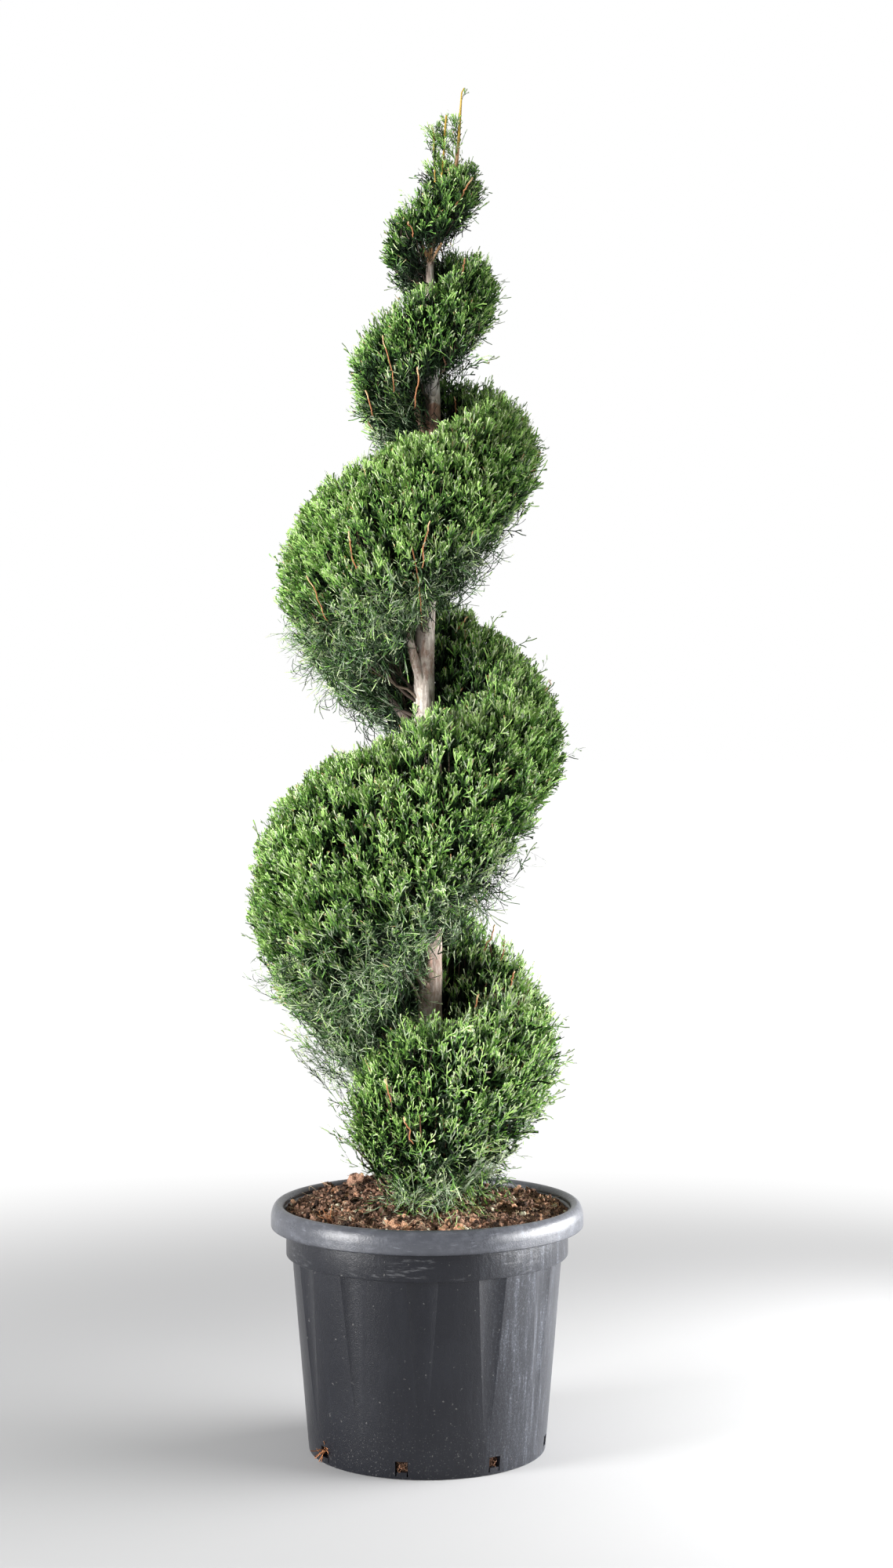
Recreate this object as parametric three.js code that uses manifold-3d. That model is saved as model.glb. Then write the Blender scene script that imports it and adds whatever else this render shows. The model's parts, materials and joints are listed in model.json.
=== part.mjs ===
// A conifer clipped as a climbing spiral, in a round nursery pot.
// Millimetres, +Z up, +X to the right, -Y to the front. The origin is the middle of the pot's underside.
//
// The crown is one thick rope of foliage that climbs round the trunk in a right-handed screw. A place on it
// is told by its turn, counted round the trunk from +X, and by the angle around the rope's own section.

import * as THREE from "three";
import { mergeVertices } from "three/addons/utils/BufferGeometryUtils.js";
import Module from "manifold-3d";

const wasm = await Module();
wasm.setup();

// ---------------------------------------------------------------- driving dimensions

const GAP = 0.35; // clearance between a piece and what carries it
const FULL = 2 * Math.PI;
const UP = new THREE.Vector3(0, 0, 1);

// Pot: a thin tapered shell with a collar, a rolled rim, shallow flutes and drain notches at its foot.
const POT_SIDES = 48;
const POT_HEIGHT = 373;
const POT_WALL = 3.5; // of the rim and collar
const POT_FLOOR = 4;
const FOOT_RADIUS = 179;
const BODY_RADIUS = 204; // just under the collar
const COLLAR_RADIUS = 213;
const COLLAR_FOOT = 293;
const RIM_RADIUS = 236;
const RIM_FOOT = 334;
const RIM_CROWN = 225; // where the rim is highest
const RIM_SHOULDER = 22; // how far down its outside rounds over
const LIP_RADIUS = 216; // inner edge of the rim
const LIP_DROP = 10; // how far under the crown that edge is
const FLUTES = 12;
const FLUTE_FIRST = -92; // degrees round from +X
const FLUTE_WIDTH = 52;
const FLUTE_DEPTH = 6;
const BODY_WALL = FLUTE_DEPTH + 2.5; // the body is smooth inside, so its wall has room for the flutes
const FLUTE_FOOT = 52; // height at which a flute has faded out
const NOTCHES = 8;
const NOTCH_FIRST = -102; // degrees round from +X
const NOTCH_WIDTH = 19;
const NOTCH_FOOT = 11;
const NOTCH_TOP = 27;
const SLIT = 2; // the slits that run from a notch down to the foot

// Soil: fills the pot and stands a little proud of the lip, with a level place under the trunk.
const SOIL_EDGE = 361;
const SOIL_MIDDLE = 366;
const SOIL_LUMP = 9;
const SOIL_FLAT = 50;

// Trunk: height, x, y and radius from its cut foot to the tip of the leader.
const TRUNK_SIDES = 10;
const TRUNK = [
  [SOIL_MIDDLE + GAP, 0, 0, 21],
  [730, 5, 2, 17],
  [1170, -4, 0, 15.5],
  [1560, 8, -2, 12],
  [1780, 4, 0, 5.5],
  [1935, 44, 0, 3],
  [2040, 52, 0, 1.2],
];
const FLARE = 0.45; // how far the roots widen the foot
const FLARE_HEIGHT = 22;

// Clipped spiral: turn, height of the rope's middle, reach from the axis and half its height.
const SPIRAL = [
  [-0.5, 490, 170, 130],
  [0, 585, 210, 138],
  [0.5, 810, 270, 205],
  [1, 1060, 210, 130],
  [1.5, 1295, 225, 145],
  [2, 1485, 170, 110],
  [2.5, 1610, 115, 80],
  [3, 1730, 110, 70],
  [3.5, 1805, 70, 42],
  [4, 1890, 83, 50],
  [4.5, 1945, 35, 30],
];
const SPIRAL_START = -0.46;
const SPIRAL_END = 4.3;
const START_ROUND = 0.14; // turns over which the lower end is rounded off
const END_ROUND = 0.3;
const INNER_REACH = 28; // how near to the axis the foliage comes
const UNDERCUT = 0.25; // how much narrower the rope is underneath

// Foliage masses: the rope is parted into equal shares of its turns, each with a core and its own sprays.
const MASSES = 14;
const CORE_SIDES = 10;
const CORE_STEPS = 5;
const CORE_DEPTH = [12, 7]; // how far the core stays under the clipped face, at the foot and at the top
const CORE_LUMP = 8; // how uneven that depth is
const SPRAY_LENGTH = [85, 50]; // at the foot and at the top
const SPRAY_WIDTH = 0.56; // of its length
const SPRAY_PROUD = 6; // how far the tips stand out of the clipped face
const SPRAY_DROOP = 16; // how much further they hang out of it underneath
const SKIRT_DROOP = 34; // how much further those of the lowest lobe hang, towards the soil
const SKIRT_END = 0.15; // the turn at which that lobe ends
const SPRAY_THICKNESS = 2.6;
const FACE_PER_SPRAY = [9400, 3800]; // square millimetres of clipped face, at the foot and at the top

// Tuft: the loose sprays and two side stems round the leader, above the clipped spiral.
const TUFT_FOOT = 1944;
const TUFT_HEIGHT = 34;
const TUFT_RADIUS = 13;
const TUFT_SPRAYS = 10;
const TUFT_MIDDLE = [34, 21]; // how far out its foot and its top stand
const TUFT_STEMS = [
  [25, 28, -3, 1998],
  [18, 10, -1, 1996],
]; // x of their roots, then x, y and height of their tips

// Boughs: one carries each mass.
const BOUGH_SIDES = 6;
const BOUGH_DROP = 0.3; // how far under its mass a bough leaves the trunk, in half heights of the mass
const BOUGH_RISE = 0.85; // how far it rises, in half heights of the mass
const BOUGH_REACH = 0.8; // how far out it ends, as a share of the way to the middle of the mass
const BOUGH_THICKNESS = 0.42; // of the trunk's radius where it leaves
const BOUGH_TAPER = 0.5;

// ---------------------------------------------------------------- numbers and curves

// A repeatable run of numbers from 0 to 1.
function seeded(seed) {
  let state = seed;
  return () => {
    state = (state * 1664525 + 1013904223) % 4294967296;
    return state / 4294967296;
  };
}

// The slope of a smooth line at one of its rows, level wherever the rows turn back.
function slope(rows, row, column) {
  const rise = (i) => (rows[i + 1][column] - rows[i][column]) / (rows[i + 1][0] - rows[i][0]);
  if (row === 0) return rise(0);
  if (row === rows.length - 1) return rise(row - 1);
  const before = rise(row - 1);
  const after = rise(row);
  return before * after > 0 ? (2 * before * after) / (before + after) : 0;
}

// The value of a column at a place along the first column, on a smooth line that never overshoots a row.
function smooth(rows, place, column) {
  let row = 0;
  while (row < rows.length - 2 && rows[row + 1][0] <= place) row += 1;
  const width = rows[row + 1][0] - rows[row][0];
  const t = Math.min(1, Math.max(0, (place - rows[row][0]) / width));
  const ease = t * t * (3 - 2 * t);
  const leave = t * (1 - t) * (1 - t) * width * slope(rows, row, column);
  const arrive = t * t * (t - 1) * width * slope(rows, row + 1, column);
  return rows[row][column] * (1 - ease) + rows[row + 1][column] * ease + leave + arrive;
}

// A value between a pair, one for the foot of the spiral and one for its top.
function atTurn(pair, turn) {
  const share = Math.min(1, Math.max(0, turn / SPIRAL_END));
  return pair[0] + (pair[1] - pair[0]) * share;
}

// ---------------------------------------------------------------- solids

// One closed surface through rings of points, each ring with as many points, its two ends filled flat.
function loft(rings) {
  const count = rings[0].length;
  const middles = [rings[0], rings[rings.length - 1]].map((ring) =>
    ring.reduce((sum, point) => sum.add(point), new THREE.Vector3()).divideScalar(count),
  );
  const points = [...rings.flat(), ...middles];
  const faces = [];
  for (let k = 0; k < count; k += 1) {
    const next = (k + 1) % count;
    for (let ring = 0; ring < rings.length - 1; ring += 1) {
      const here = ring * count;
      const there = here + count;
      faces.push(here + k, here + next, there + next, here + k, there + next, there + k);
    }
    const last = (rings.length - 1) * count;
    faces.push(points.length - 2, next, k, points.length - 1, last + k, last + next);
  }
  return faced(points, faces);
}

// A geometry from points and faces, turned inside out if its faces point inwards.
function faced(points, faces) {
  const corner = (i) => points[faces[i]];
  let volume = 0;
  for (let i = 0; i < faces.length; i += 3) {
    volume += corner(i).dot(new THREE.Vector3().crossVectors(corner(i + 1), corner(i + 2)));
  }
  const geometry = new THREE.BufferGeometry().setFromPoints(points);
  geometry.setIndex(volume < 0 ? faces.slice().reverse() : faces);
  return geometry;
}

// A manifold solid of a closed geometry: its corners are merged and faces with no area are left out.
function solid(geometry) {
  const bare = geometry.clone();
  bare.deleteAttribute("normal");
  bare.deleteAttribute("uv");
  const merged = mergeVertices(bare, 1e-4);
  const faces = [];
  for (let i = 0; i < merged.index.count; i += 3) {
    const [a, b, c] = [0, 1, 2].map((k) => merged.index.getX(i + k));
    if (a !== b && b !== c && c !== a) faces.push(a, b, c);
  }
  const vertProperties = merged.attributes.position.array;
  const triVerts = Uint32Array.from(faces);
  return new wasm.Manifold(new wasm.Mesh({ numProp: 3, vertProperties, triVerts }));
}

// The geometry of a manifold solid, without any scrap that a cut has left loose.
function geometryOf(shape) {
  const whole = shape.decompose().sort((a, b) => b.volume() - a.volume())[0];
  const mesh = whole.getMesh();
  const geometry = new THREE.BufferGeometry();
  geometry.setAttribute("position", new THREE.BufferAttribute(mesh.vertProperties, 3));
  geometry.setIndex(new THREE.BufferAttribute(mesh.triVerts, 1));
  return geometry;
}

// A tapering limb: rings of a few sides along a line of stations, each a middle and a radius.
function limb(stations, sides, grow = 0) {
  const rings = stations.map(({ middle, radius }, i) => {
    const before = stations[Math.max(0, i - 1)].middle;
    const after = stations[Math.min(stations.length - 1, i + 1)].middle;
    const along = after.clone().sub(before).normalize();
    const across = new THREE.Vector3(1, 0, 0).projectOnPlane(along).normalize();
    const beside = new THREE.Vector3().crossVectors(along, across);
    const end = i === 0 ? -grow : i === stations.length - 1 ? grow : 0;
    return Array.from({ length: sides }, (_, k) => {
      const angle = (k / sides) * FULL;
      const size = radius + grow;
      return middle
        .clone()
        .addScaledVector(along, end)
        .addScaledVector(across, size * Math.cos(angle))
        .addScaledVector(beside, size * Math.sin(angle));
    });
  });
  return solid(loft(rings));
}

const model = new THREE.Group();

function place(name, shape, colour, roughness) {
  const material = new THREE.MeshStandardMaterial({ color: colour, roughness, metalness: 0 });
  const mesh = new THREE.Mesh(geometryOf(shape), material);
  mesh.name = name;
  model.add(mesh);
}

// ---------------------------------------------------------------- pot

// The outside radius of the pot's tapered body at a height.
function bodyRadius(height) {
  return FOOT_RADIUS + ((BODY_RADIUS - FOOT_RADIUS) * height) / COLLAR_FOOT;
}

function turned(outline) {
  const profile = outline.map(([radius, height]) => new THREE.Vector2(radius, height));
  return solid(new THREE.LatheGeometry(profile, POT_SIDES).rotateX(Math.PI / 2));
}

// The shell: up the outside, over the rolled rim, which is hollow underneath, and down the inside.
function potShell() {
  const rim = [];
  for (let k = 0; k <= 7; k += 1) {
    const angle = (k / 7) * Math.PI;
    const outer = angle < Math.PI / 2;
    const wide = outer ? RIM_RADIUS - RIM_CROWN : RIM_CROWN - LIP_RADIUS;
    const tall = outer ? RIM_SHOULDER : LIP_DROP;
    rim.push([RIM_CROWN + wide * Math.cos(angle), POT_HEIGHT - tall + tall * Math.sin(angle)]);
  }
  return turned([
    [0, 0],
    [FOOT_RADIUS - 3, 0],
    [bodyRadius(3), 3],
    [BODY_RADIUS, COLLAR_FOOT],
    [COLLAR_RADIUS, COLLAR_FOOT + 4],
    [COLLAR_RADIUS, POT_HEIGHT - 2 * POT_WALL - 6],
    [RIM_RADIUS - POT_WALL, POT_HEIGHT - 2 * POT_WALL - 8],
    [RIM_RADIUS - POT_WALL, RIM_FOOT],
    [RIM_RADIUS, RIM_FOOT],
    ...rim,
    [COLLAR_RADIUS - POT_WALL, POT_HEIGHT - 2 * LIP_DROP + 2],
    [COLLAR_RADIUS - POT_WALL, COLLAR_FOOT + 4],
    [bodyRadius(COLLAR_FOOT - 4) - BODY_WALL, COLLAR_FOOT - 4],
    [bodyRadius(POT_FLOOR) - BODY_WALL, POT_FLOOR],
    [0, POT_FLOOR],
  ]);
}

// A wedge that cuts one flute: a shallow valley, widest under the collar, that thins and fades downwards.
function fluteCutter() {
  const ring = (height, share) => {
    const radius = bodyRadius(height);
    const half = (FLUTE_WIDTH * share) / 2;
    const depth = FLUTE_DEPTH * share;
    const edge = Math.sqrt(radius * radius - half * half);
    const outline = [
      [edge, -half],
      [radius - depth * 0.8, -half * 0.35],
      [radius - depth, 0],
      [radius - depth * 0.8, half * 0.35],
      [edge, half],
      [radius + 9, half * 1.4],
      [radius + 9, -half * 1.4],
    ];
    return outline.map(([x, y]) => new THREE.Vector3(x, y, height));
  };
  return solid(loft([ring(COLLAR_FOOT - 2, 1), ring(FLUTE_FOOT, 0.42)]));
}

// A drain notch in the foot of the wall, with a slit down each side of the tab below it.
function notchCutter() {
  const deep = 30;
  const box = (width, low, high, side) => {
    const block = new THREE.BoxGeometry(deep, width, high - low);
    return solid(block.translate(FOOT_RADIUS, side, (low + high) / 2));
  };
  const slitSide = (NOTCH_WIDTH - SLIT) / 2;
  return box(NOTCH_WIDTH, NOTCH_FOOT, NOTCH_TOP, 0)
    .add(box(SLIT, POT_FLOOR, NOTCH_FOOT + 1, -slitSide))
    .add(box(SLIT, POT_FLOOR, NOTCH_FOOT + 1, slitSide));
}

function pot() {
  let shell = potShell();
  for (let k = 0; k < FLUTES; k += 1) {
    const angle = FLUTE_FIRST + (k * 360) / FLUTES;
    shell = shell.subtract(fluteCutter().rotate([0, 0, angle]));
  }
  for (let k = 0; k < NOTCHES; k += 1) {
    const angle = NOTCH_FIRST + (k * 360) / NOTCHES;
    shell = shell.subtract(notchCutter().rotate([0, 0, angle]));
  }
  place("pot", shell, 0x1b1d20, 0.45);
}

// ---------------------------------------------------------------- soil

// The soil follows the inside of the pot, a clearance away, and its top is lumpy but for the level middle.
function soil() {
  const random = seeded(11);
  const ring = (radius, height, lump) =>
    Array.from({ length: POT_SIDES }, (_, k) => {
      const angle = (k / POT_SIDES) * FULL;
      const rise = height + lump * (random() - 0.5);
      return new THREE.Vector3(radius * Math.sin(angle), radius * Math.cos(angle), rise);
    });
  const inside = COLLAR_RADIUS - POT_WALL - GAP;
  const body = (height) => bodyRadius(height) - BODY_WALL - GAP;
  const rings = [
    ring(body(POT_FLOOR), POT_FLOOR + GAP, 0),
    ring(body(COLLAR_FOOT - 4), COLLAR_FOOT - 4 + GAP, 0),
    ring(inside, COLLAR_FOOT + 4 + GAP, 0),
    ring(inside, SOIL_EDGE - SOIL_LUMP / 2, 0),
  ];
  for (const share of [0.12, 0.4, 0.7]) {
    const radius = inside + (SOIL_FLAT - inside) * share;
    const height = SOIL_EDGE + (SOIL_MIDDLE - SOIL_EDGE) * share;
    rings.push(ring(radius, height, SOIL_LUMP * 2));
  }
  rings.push(ring(SOIL_FLAT, SOIL_MIDDLE, 0));
  place("soil", solid(loft(rings)), 0x4a2c1c, 0.95);
}

// ---------------------------------------------------------------- trunk

// The middle of the trunk at a height.
function trunkMiddle(height) {
  return new THREE.Vector3(smooth(TRUNK, height, 1), smooth(TRUNK, height, 2), height);
}

// The trunk's solid, its rings level so that its foot is cut flat. It is grown to cut a neighbour clear.
function trunkSolid(grow = 0) {
  const foot = TRUNK[0][0];
  const tip = TRUNK[TRUNK.length - 1][0];
  const heights = [foot, foot + 8, foot + FLARE_HEIGHT, foot + 2.5 * FLARE_HEIGHT];
  for (let share = 0.15; share < 1.001; share += 0.085) heights.push(foot + (tip - foot) * share);
  const rings = heights.map((height) => {
    const flare = FLARE * Math.exp(-(height - foot) / FLARE_HEIGHT);
    const size = smooth(TRUNK, height, 3);
    return Array.from({ length: TRUNK_SIDES }, (_, k) => {
      const angle = (k / TRUNK_SIDES) * FULL;
      const radius = size * (1 + flare * (1 + 0.5 * Math.cos(5 * angle))) + grow;
      const side = new THREE.Vector3(radius * Math.cos(angle), radius * Math.sin(angle), 0);
      return trunkMiddle(height).add(side);
    });
  });
  return solid(loft(rings));
}

// ---------------------------------------------------------------- the clipped spiral

// How far the rope is grown at a turn, from 0 at its rounded ends to 1.
function fullness(turn) {
  const start = Math.min(1, Math.max(0, (turn - SPIRAL_START) / START_ROUND));
  const end = Math.min(1, Math.max(0, (SPIRAL_END - turn) / END_ROUND));
  return Math.sqrt(1 - (1 - start) ** 2) * Math.sqrt(1 - (1 - end) ** 2);
}

// The rope's section at a turn: its height, its middle's distance from the axis and its two half sizes.
function section(turn) {
  const reach = smooth(SPIRAL, turn, 2);
  const inner = Math.min(INNER_REACH, 0.3 * reach);
  const grown = fullness(turn);
  return {
    height: smooth(SPIRAL, turn, 1),
    middle: (reach + inner) / 2,
    wide: ((reach - inner) / 2) * grown,
    tall: smooth(SPIRAL, turn, 3) * grown,
  };
}

// A point of the clipped face, or of a face that lies deeper by a depth.
function facePoint(turn, around, depth = 0) {
  const { height, middle, wide, tall } = section(turn);
  const tuck = 1 - UNDERCUT * Math.max(0, -Math.sin(around));
  const out = middle + Math.max(6, wide - depth) * Math.cos(around) * tuck;
  const rise = height + Math.max(6, tall - depth) * Math.sin(around);
  return new THREE.Vector3(out * Math.cos(FULL * turn), out * Math.sin(FULL * turn), rise);
}

// The direction in which the clipped face looks.
function faceNormal(turn, around) {
  const step = 0.01;
  const along = facePoint(turn + step, around).sub(facePoint(turn - step, around));
  const across = facePoint(turn, around + step).sub(facePoint(turn, around - step));
  return across.cross(along).normalize().negate();
}

// The level direction in which the rope climbs at a turn.
function ahead(turn) {
  return new THREE.Vector3(-Math.sin(FULL * turn), Math.cos(FULL * turn), 0);
}

// ---------------------------------------------------------------- boughs

// The stations of the bough that carries a mass: it leaves the trunk under the mass and curves up into it.
function boughStations(turn) {
  const { height, middle, tall } = section(turn);
  const outwards = new THREE.Vector3(Math.cos(FULL * turn), Math.sin(FULL * turn), 0);
  const low = trunkMiddle(height - tall * (1 + BOUGH_DROP));
  const thick = BOUGH_THICKNESS * smooth(TRUNK, low.z, 3);
  return [0, 0.34, 0.67, 1].map((t) => ({
    middle: low
      .clone()
      .addScaledVector(outwards, middle * BOUGH_REACH * t)
      .addScaledVector(UP, tall * BOUGH_RISE * (0.7 * t + 0.3 * t * t)),
    radius: thick * (1 - BOUGH_TAPER * t),
  }));
}

// ---------------------------------------------------------------- foliage

// The core of one mass: rings of the rope's section, lumpy by a seeded rule, between two upright end faces.
function massCore(from, to, random) {
  const rings = [];
  for (let step = 0; step <= CORE_STEPS; step += 1) {
    const turn = from + ((to - from) * step) / CORE_STEPS;
    const aside = step === 0 ? GAP / 2 : step === CORE_STEPS ? -GAP / 2 : 0;
    rings.push(
      Array.from({ length: CORE_SIDES }, (_, k) => {
        const depth = atTurn(CORE_DEPTH, turn) + CORE_LUMP * (random() - 0.5);
        return facePoint(turn, (k / CORE_SIDES) * FULL, depth).addScaledVector(ahead(turn), aside);
      }),
    );
  }
  return solid(loft(rings));
}

// A spray of foliage as a blade with three teeth, its root at the origin and its tip along +Y.
function sprayBlade(length) {
  const wide = (length * SPRAY_WIDTH) / 2;
  const outline = new THREE.Shape();
  outline.moveTo(0, 0);
  outline.lineTo(wide, length * 0.72);
  outline.lineTo(wide * 0.3, length * 0.66);
  outline.lineTo(0, length);
  outline.lineTo(-wide * 0.3, length * 0.66);
  outline.lineTo(-wide, length * 0.72);
  const blade = new THREE.ExtrudeGeometry(outline, { depth: SPRAY_THICKNESS, bevelEnabled: false });
  return blade.translate(0, 0, -SPRAY_THICKNESS / 2);
}

// A blade set with its tip at a point, looking along a direction and rolled by chance.
function setSpray(length, tip, direction, random) {
  const chance = new THREE.Vector3(random() - 0.5, random() - 0.5, random() - 0.5);
  const across = new THREE.Vector3().crossVectors(direction, chance).normalize();
  const flat = new THREE.Vector3().crossVectors(across, direction);
  const root = tip.clone().addScaledVector(direction, -length);
  const frame = new THREE.Matrix4().makeBasis(across, direction, flat).setPosition(root);
  return sprayBlade(length).applyMatrix4(frame);
}

// The way a spray grows: out of the face, upwards on top and drooping underneath.
function sprayDirection(turn, around, random) {
  const out = faceNormal(turn, around);
  const high = Math.sin(around);
  const lean = high > -0.2 ? 0.9 : -0.25;
  const chance = new THREE.Vector3(random() - 0.5, random() - 0.5, random() - 0.5);
  return out.addScaledVector(UP, lean).addScaledVector(chance, 0.5).normalize();
}

// True where every corner of a geometry lies between the two upright end faces of a mass.
function keepsToShare(geometry, from, to) {
  const corners = geometry.attributes.position;
  const corner = new THREE.Vector3();
  for (let i = 0; i < corners.count; i += 1) {
    corner.fromBufferAttribute(corners, i);
    if (from !== null && corner.dot(ahead(from)) < GAP / 2) return false;
    if (to !== null && corner.dot(ahead(to)) > -GAP / 2) return false;
    if (corner.z < SOIL_MIDDLE + SOIL_LUMP) return false;
  }
  return true;
}

// One mass: its core cut clear of the limbs, with its sprays fused on.
function mass(index, limbs) {
  const share = (SPIRAL_END - SPIRAL_START) / MASSES;
  const from = SPIRAL_START + index * share;
  const to = from + share;
  const middle = (from + to) / 2;
  const random = seeded(101 + index);
  let whole = massCore(from, to, random).subtract(limbs);
  const { wide, tall } = section(middle);
  const girth = FULL * Math.sqrt((wide * wide + tall * tall) / 2);
  const face = girth * share * FULL * section(middle).middle;
  const count = Math.round(face / atTurn(FACE_PER_SPRAY, middle));
  const edges = [index === 0 ? null : from, index === MASSES - 1 ? null : to];
  for (let k = 0; k < count; k += 1) {
    const turn = from + (share * (k + random())) / count;
    const around = (((k * 0.618) % 1) - 0.5) * FULL * 0.8;
    const direction = sprayDirection(turn, around, random);
    const droop = turn < SKIRT_END ? SPRAY_DROOP + SKIRT_DROOP : SPRAY_DROOP;
    const proud = SPRAY_PROUD + droop * Math.max(0, -Math.sin(around));
    const tip = facePoint(turn, around, -proud);
    const blade = setSpray(atTurn(SPRAY_LENGTH, turn), tip, direction, random);
    if (!keepsToShare(blade, ...edges)) continue;
    const spray = solid(blade);
    if (spray.intersect(limbs).volume() === 0) whole = whole.add(spray);
  }
  return whole;
}

// The tuft at the tip: a small heart round the leader, two side stems and sprays that stand up out of it.
function tuft(limbs) {
  const random = seeded(77);
  const heart = [0, 0.5, 1].map((share) => ({
    middle: new THREE.Vector3(TUFT_MIDDLE[0], 0, TUFT_FOOT)
      .lerp(new THREE.Vector3(TUFT_MIDDLE[1], 0, TUFT_FOOT + TUFT_HEIGHT), share),
    radius: TUFT_RADIUS * (share === 0.5 ? 1 : 0.7),
  }));
  let whole = limb(heart, BOUGH_SIDES).subtract(limbs);
  for (const [root, x, y, height] of TUFT_STEMS) {
    const stem = [
      { middle: new THREE.Vector3(root, y, heart[1].middle.z), radius: 3 },
      { middle: new THREE.Vector3(x, y, height), radius: 1.2 },
    ];
    whole = whole.add(limb(stem, 3).subtract(limbs));
  }
  const length = atTurn(SPRAY_LENGTH, SPIRAL_END);
  for (let k = 0; k < TUFT_SPRAYS; k += 1) {
    const angle = (k + 0.3 * random()) * (FULL / TUFT_SPRAYS);
    const steep = 0.9 + 1.6 * random();
    const direction = new THREE.Vector3(Math.cos(angle), Math.sin(angle), steep).normalize();
    const tip = heart[1].middle.clone().addScaledVector(direction, length * (0.6 + 0.3 * random()));
    const spray = solid(setSpray(length, tip, direction, random));
    if (spray.intersect(limbs).volume() === 0) whole = whole.add(spray);
  }
  return whole;
}

// ---------------------------------------------------------------- the whole plant

pot();
soil();
place("trunk", trunkSolid(), 0x8a7a68, 0.85);

const boughTurns = Array.from({ length: MASSES }, (_, index) => {
  return SPIRAL_START + ((SPIRAL_END - SPIRAL_START) * (index + 0.5)) / MASSES;
});
const clearTrunk = trunkSolid(GAP);
let limbs = clearTrunk;
for (const turn of boughTurns) limbs = limbs.add(limb(boughStations(turn), BOUGH_SIDES, GAP));

for (let index = 0; index < MASSES; index += 1) {
  const number = String(index + 1).padStart(2, "0");
  const bough = limb(boughStations(boughTurns[index]), BOUGH_SIDES).subtract(clearTrunk);
  place(`bough_${number}`, bough, 0x7d6a55, 0.85);
  place(`foliage_${number}`, mass(index, limbs), 0x2f5a26, 0.8);
}

place("foliage_top", tuft(limbs), 0x3b6a2a, 0.8);

export default model;
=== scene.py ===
# %% [markdown]
# # A spiral topiary in its nursery pot
# A conifer with flat green sprays has been clipped as a rope that winds up its own trunk. It stands in a
# black nursery pot with a rolled rim and shallow flutes, full of brown potting soil, and is about 2.04 m
# high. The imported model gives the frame, so this lesson only dresses it: each step models one part of the
# plant or the pot with the tools that a modeller would use by hand, and gives it a finish made of nodes.

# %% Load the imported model
import json
import math

import bpy
import numpy as np
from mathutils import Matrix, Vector, noise

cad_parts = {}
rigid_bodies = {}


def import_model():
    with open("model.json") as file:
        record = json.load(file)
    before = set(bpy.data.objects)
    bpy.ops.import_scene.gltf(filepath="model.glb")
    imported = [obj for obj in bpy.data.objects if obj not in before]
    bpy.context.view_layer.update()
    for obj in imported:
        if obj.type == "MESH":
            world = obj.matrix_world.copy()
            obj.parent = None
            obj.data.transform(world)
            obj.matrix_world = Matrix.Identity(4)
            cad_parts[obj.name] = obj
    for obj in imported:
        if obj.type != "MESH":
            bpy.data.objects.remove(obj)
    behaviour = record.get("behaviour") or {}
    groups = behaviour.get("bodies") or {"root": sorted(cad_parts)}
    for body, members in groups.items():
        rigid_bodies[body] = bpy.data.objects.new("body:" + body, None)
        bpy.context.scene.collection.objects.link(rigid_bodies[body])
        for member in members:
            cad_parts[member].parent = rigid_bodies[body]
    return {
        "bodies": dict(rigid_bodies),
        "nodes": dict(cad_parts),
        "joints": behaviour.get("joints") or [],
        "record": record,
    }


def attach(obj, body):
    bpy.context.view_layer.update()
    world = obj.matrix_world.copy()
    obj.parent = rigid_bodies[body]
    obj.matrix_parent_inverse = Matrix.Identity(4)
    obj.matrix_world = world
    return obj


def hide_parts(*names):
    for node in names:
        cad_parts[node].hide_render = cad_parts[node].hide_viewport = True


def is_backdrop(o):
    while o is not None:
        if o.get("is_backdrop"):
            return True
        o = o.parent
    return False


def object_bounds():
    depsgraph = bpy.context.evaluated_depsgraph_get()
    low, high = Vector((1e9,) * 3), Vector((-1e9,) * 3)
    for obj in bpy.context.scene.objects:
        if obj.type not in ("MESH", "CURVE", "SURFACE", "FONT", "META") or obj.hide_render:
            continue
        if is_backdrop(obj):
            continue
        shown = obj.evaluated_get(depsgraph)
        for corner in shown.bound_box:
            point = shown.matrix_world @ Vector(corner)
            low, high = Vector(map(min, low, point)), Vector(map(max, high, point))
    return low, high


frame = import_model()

CAD_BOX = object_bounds()
BODY = "root"
FULL = 2 * math.pi
MM = 0.001
print("nodes in the frame:", len(frame["nodes"]))
print("box of the frame:", [tuple(round(v, 4) for v in corner) for corner in CAD_BOX])

# %% [markdown]
# ## The camera
# The plant is seen from its front, from a little over half of its height, by a camera almost four metres
# away that looks down by a degree and a half. A lens of 59 mm keeps the upright lines upright. The camera
# is made first, because everything after it is judged through it.

# %% Camera
CAMERA_PLACE = (0.0, -3.887, 1.105)
CAMERA_LENS = 59.25
LOOKS_DOWN = math.radians(1.485)
LOOKS_RIGHT = math.radians(0.43)


def clear_selection():
    """Leaves edit mode and deselects everything, because an operator acts on all that is selected."""
    if bpy.context.mode != "OBJECT":
        bpy.ops.object.mode_set(mode="OBJECT")
    bpy.ops.object.select_all(action="DESELECT")


clear_selection()
camera_turn = (math.pi / 2 - LOOKS_DOWN, 0, -LOOKS_RIGHT)
bpy.ops.object.camera_add(location=CAMERA_PLACE, rotation=camera_turn)
camera = bpy.context.object
camera.name = "camera"
camera.data.lens = CAMERA_LENS
bpy.context.scene.camera = camera
print("camera at", tuple(camera.location))

# %% [markdown]
# ## Tools for modelling by hand
# Most pieces start as a primitive that is shaped in edit mode. A turned piece, such as the pot, is drawn as
# one outline: a single corner is extruded from point to point, and the line is then spun round the axis.

# %% Pick and edit pieces
def pick(*pieces):
    """Selects these pieces alone, the first of them active."""
    clear_selection()
    for piece in pieces:
        piece.select_set(True)
    bpy.context.view_layer.objects.active = pieces[0]


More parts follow.
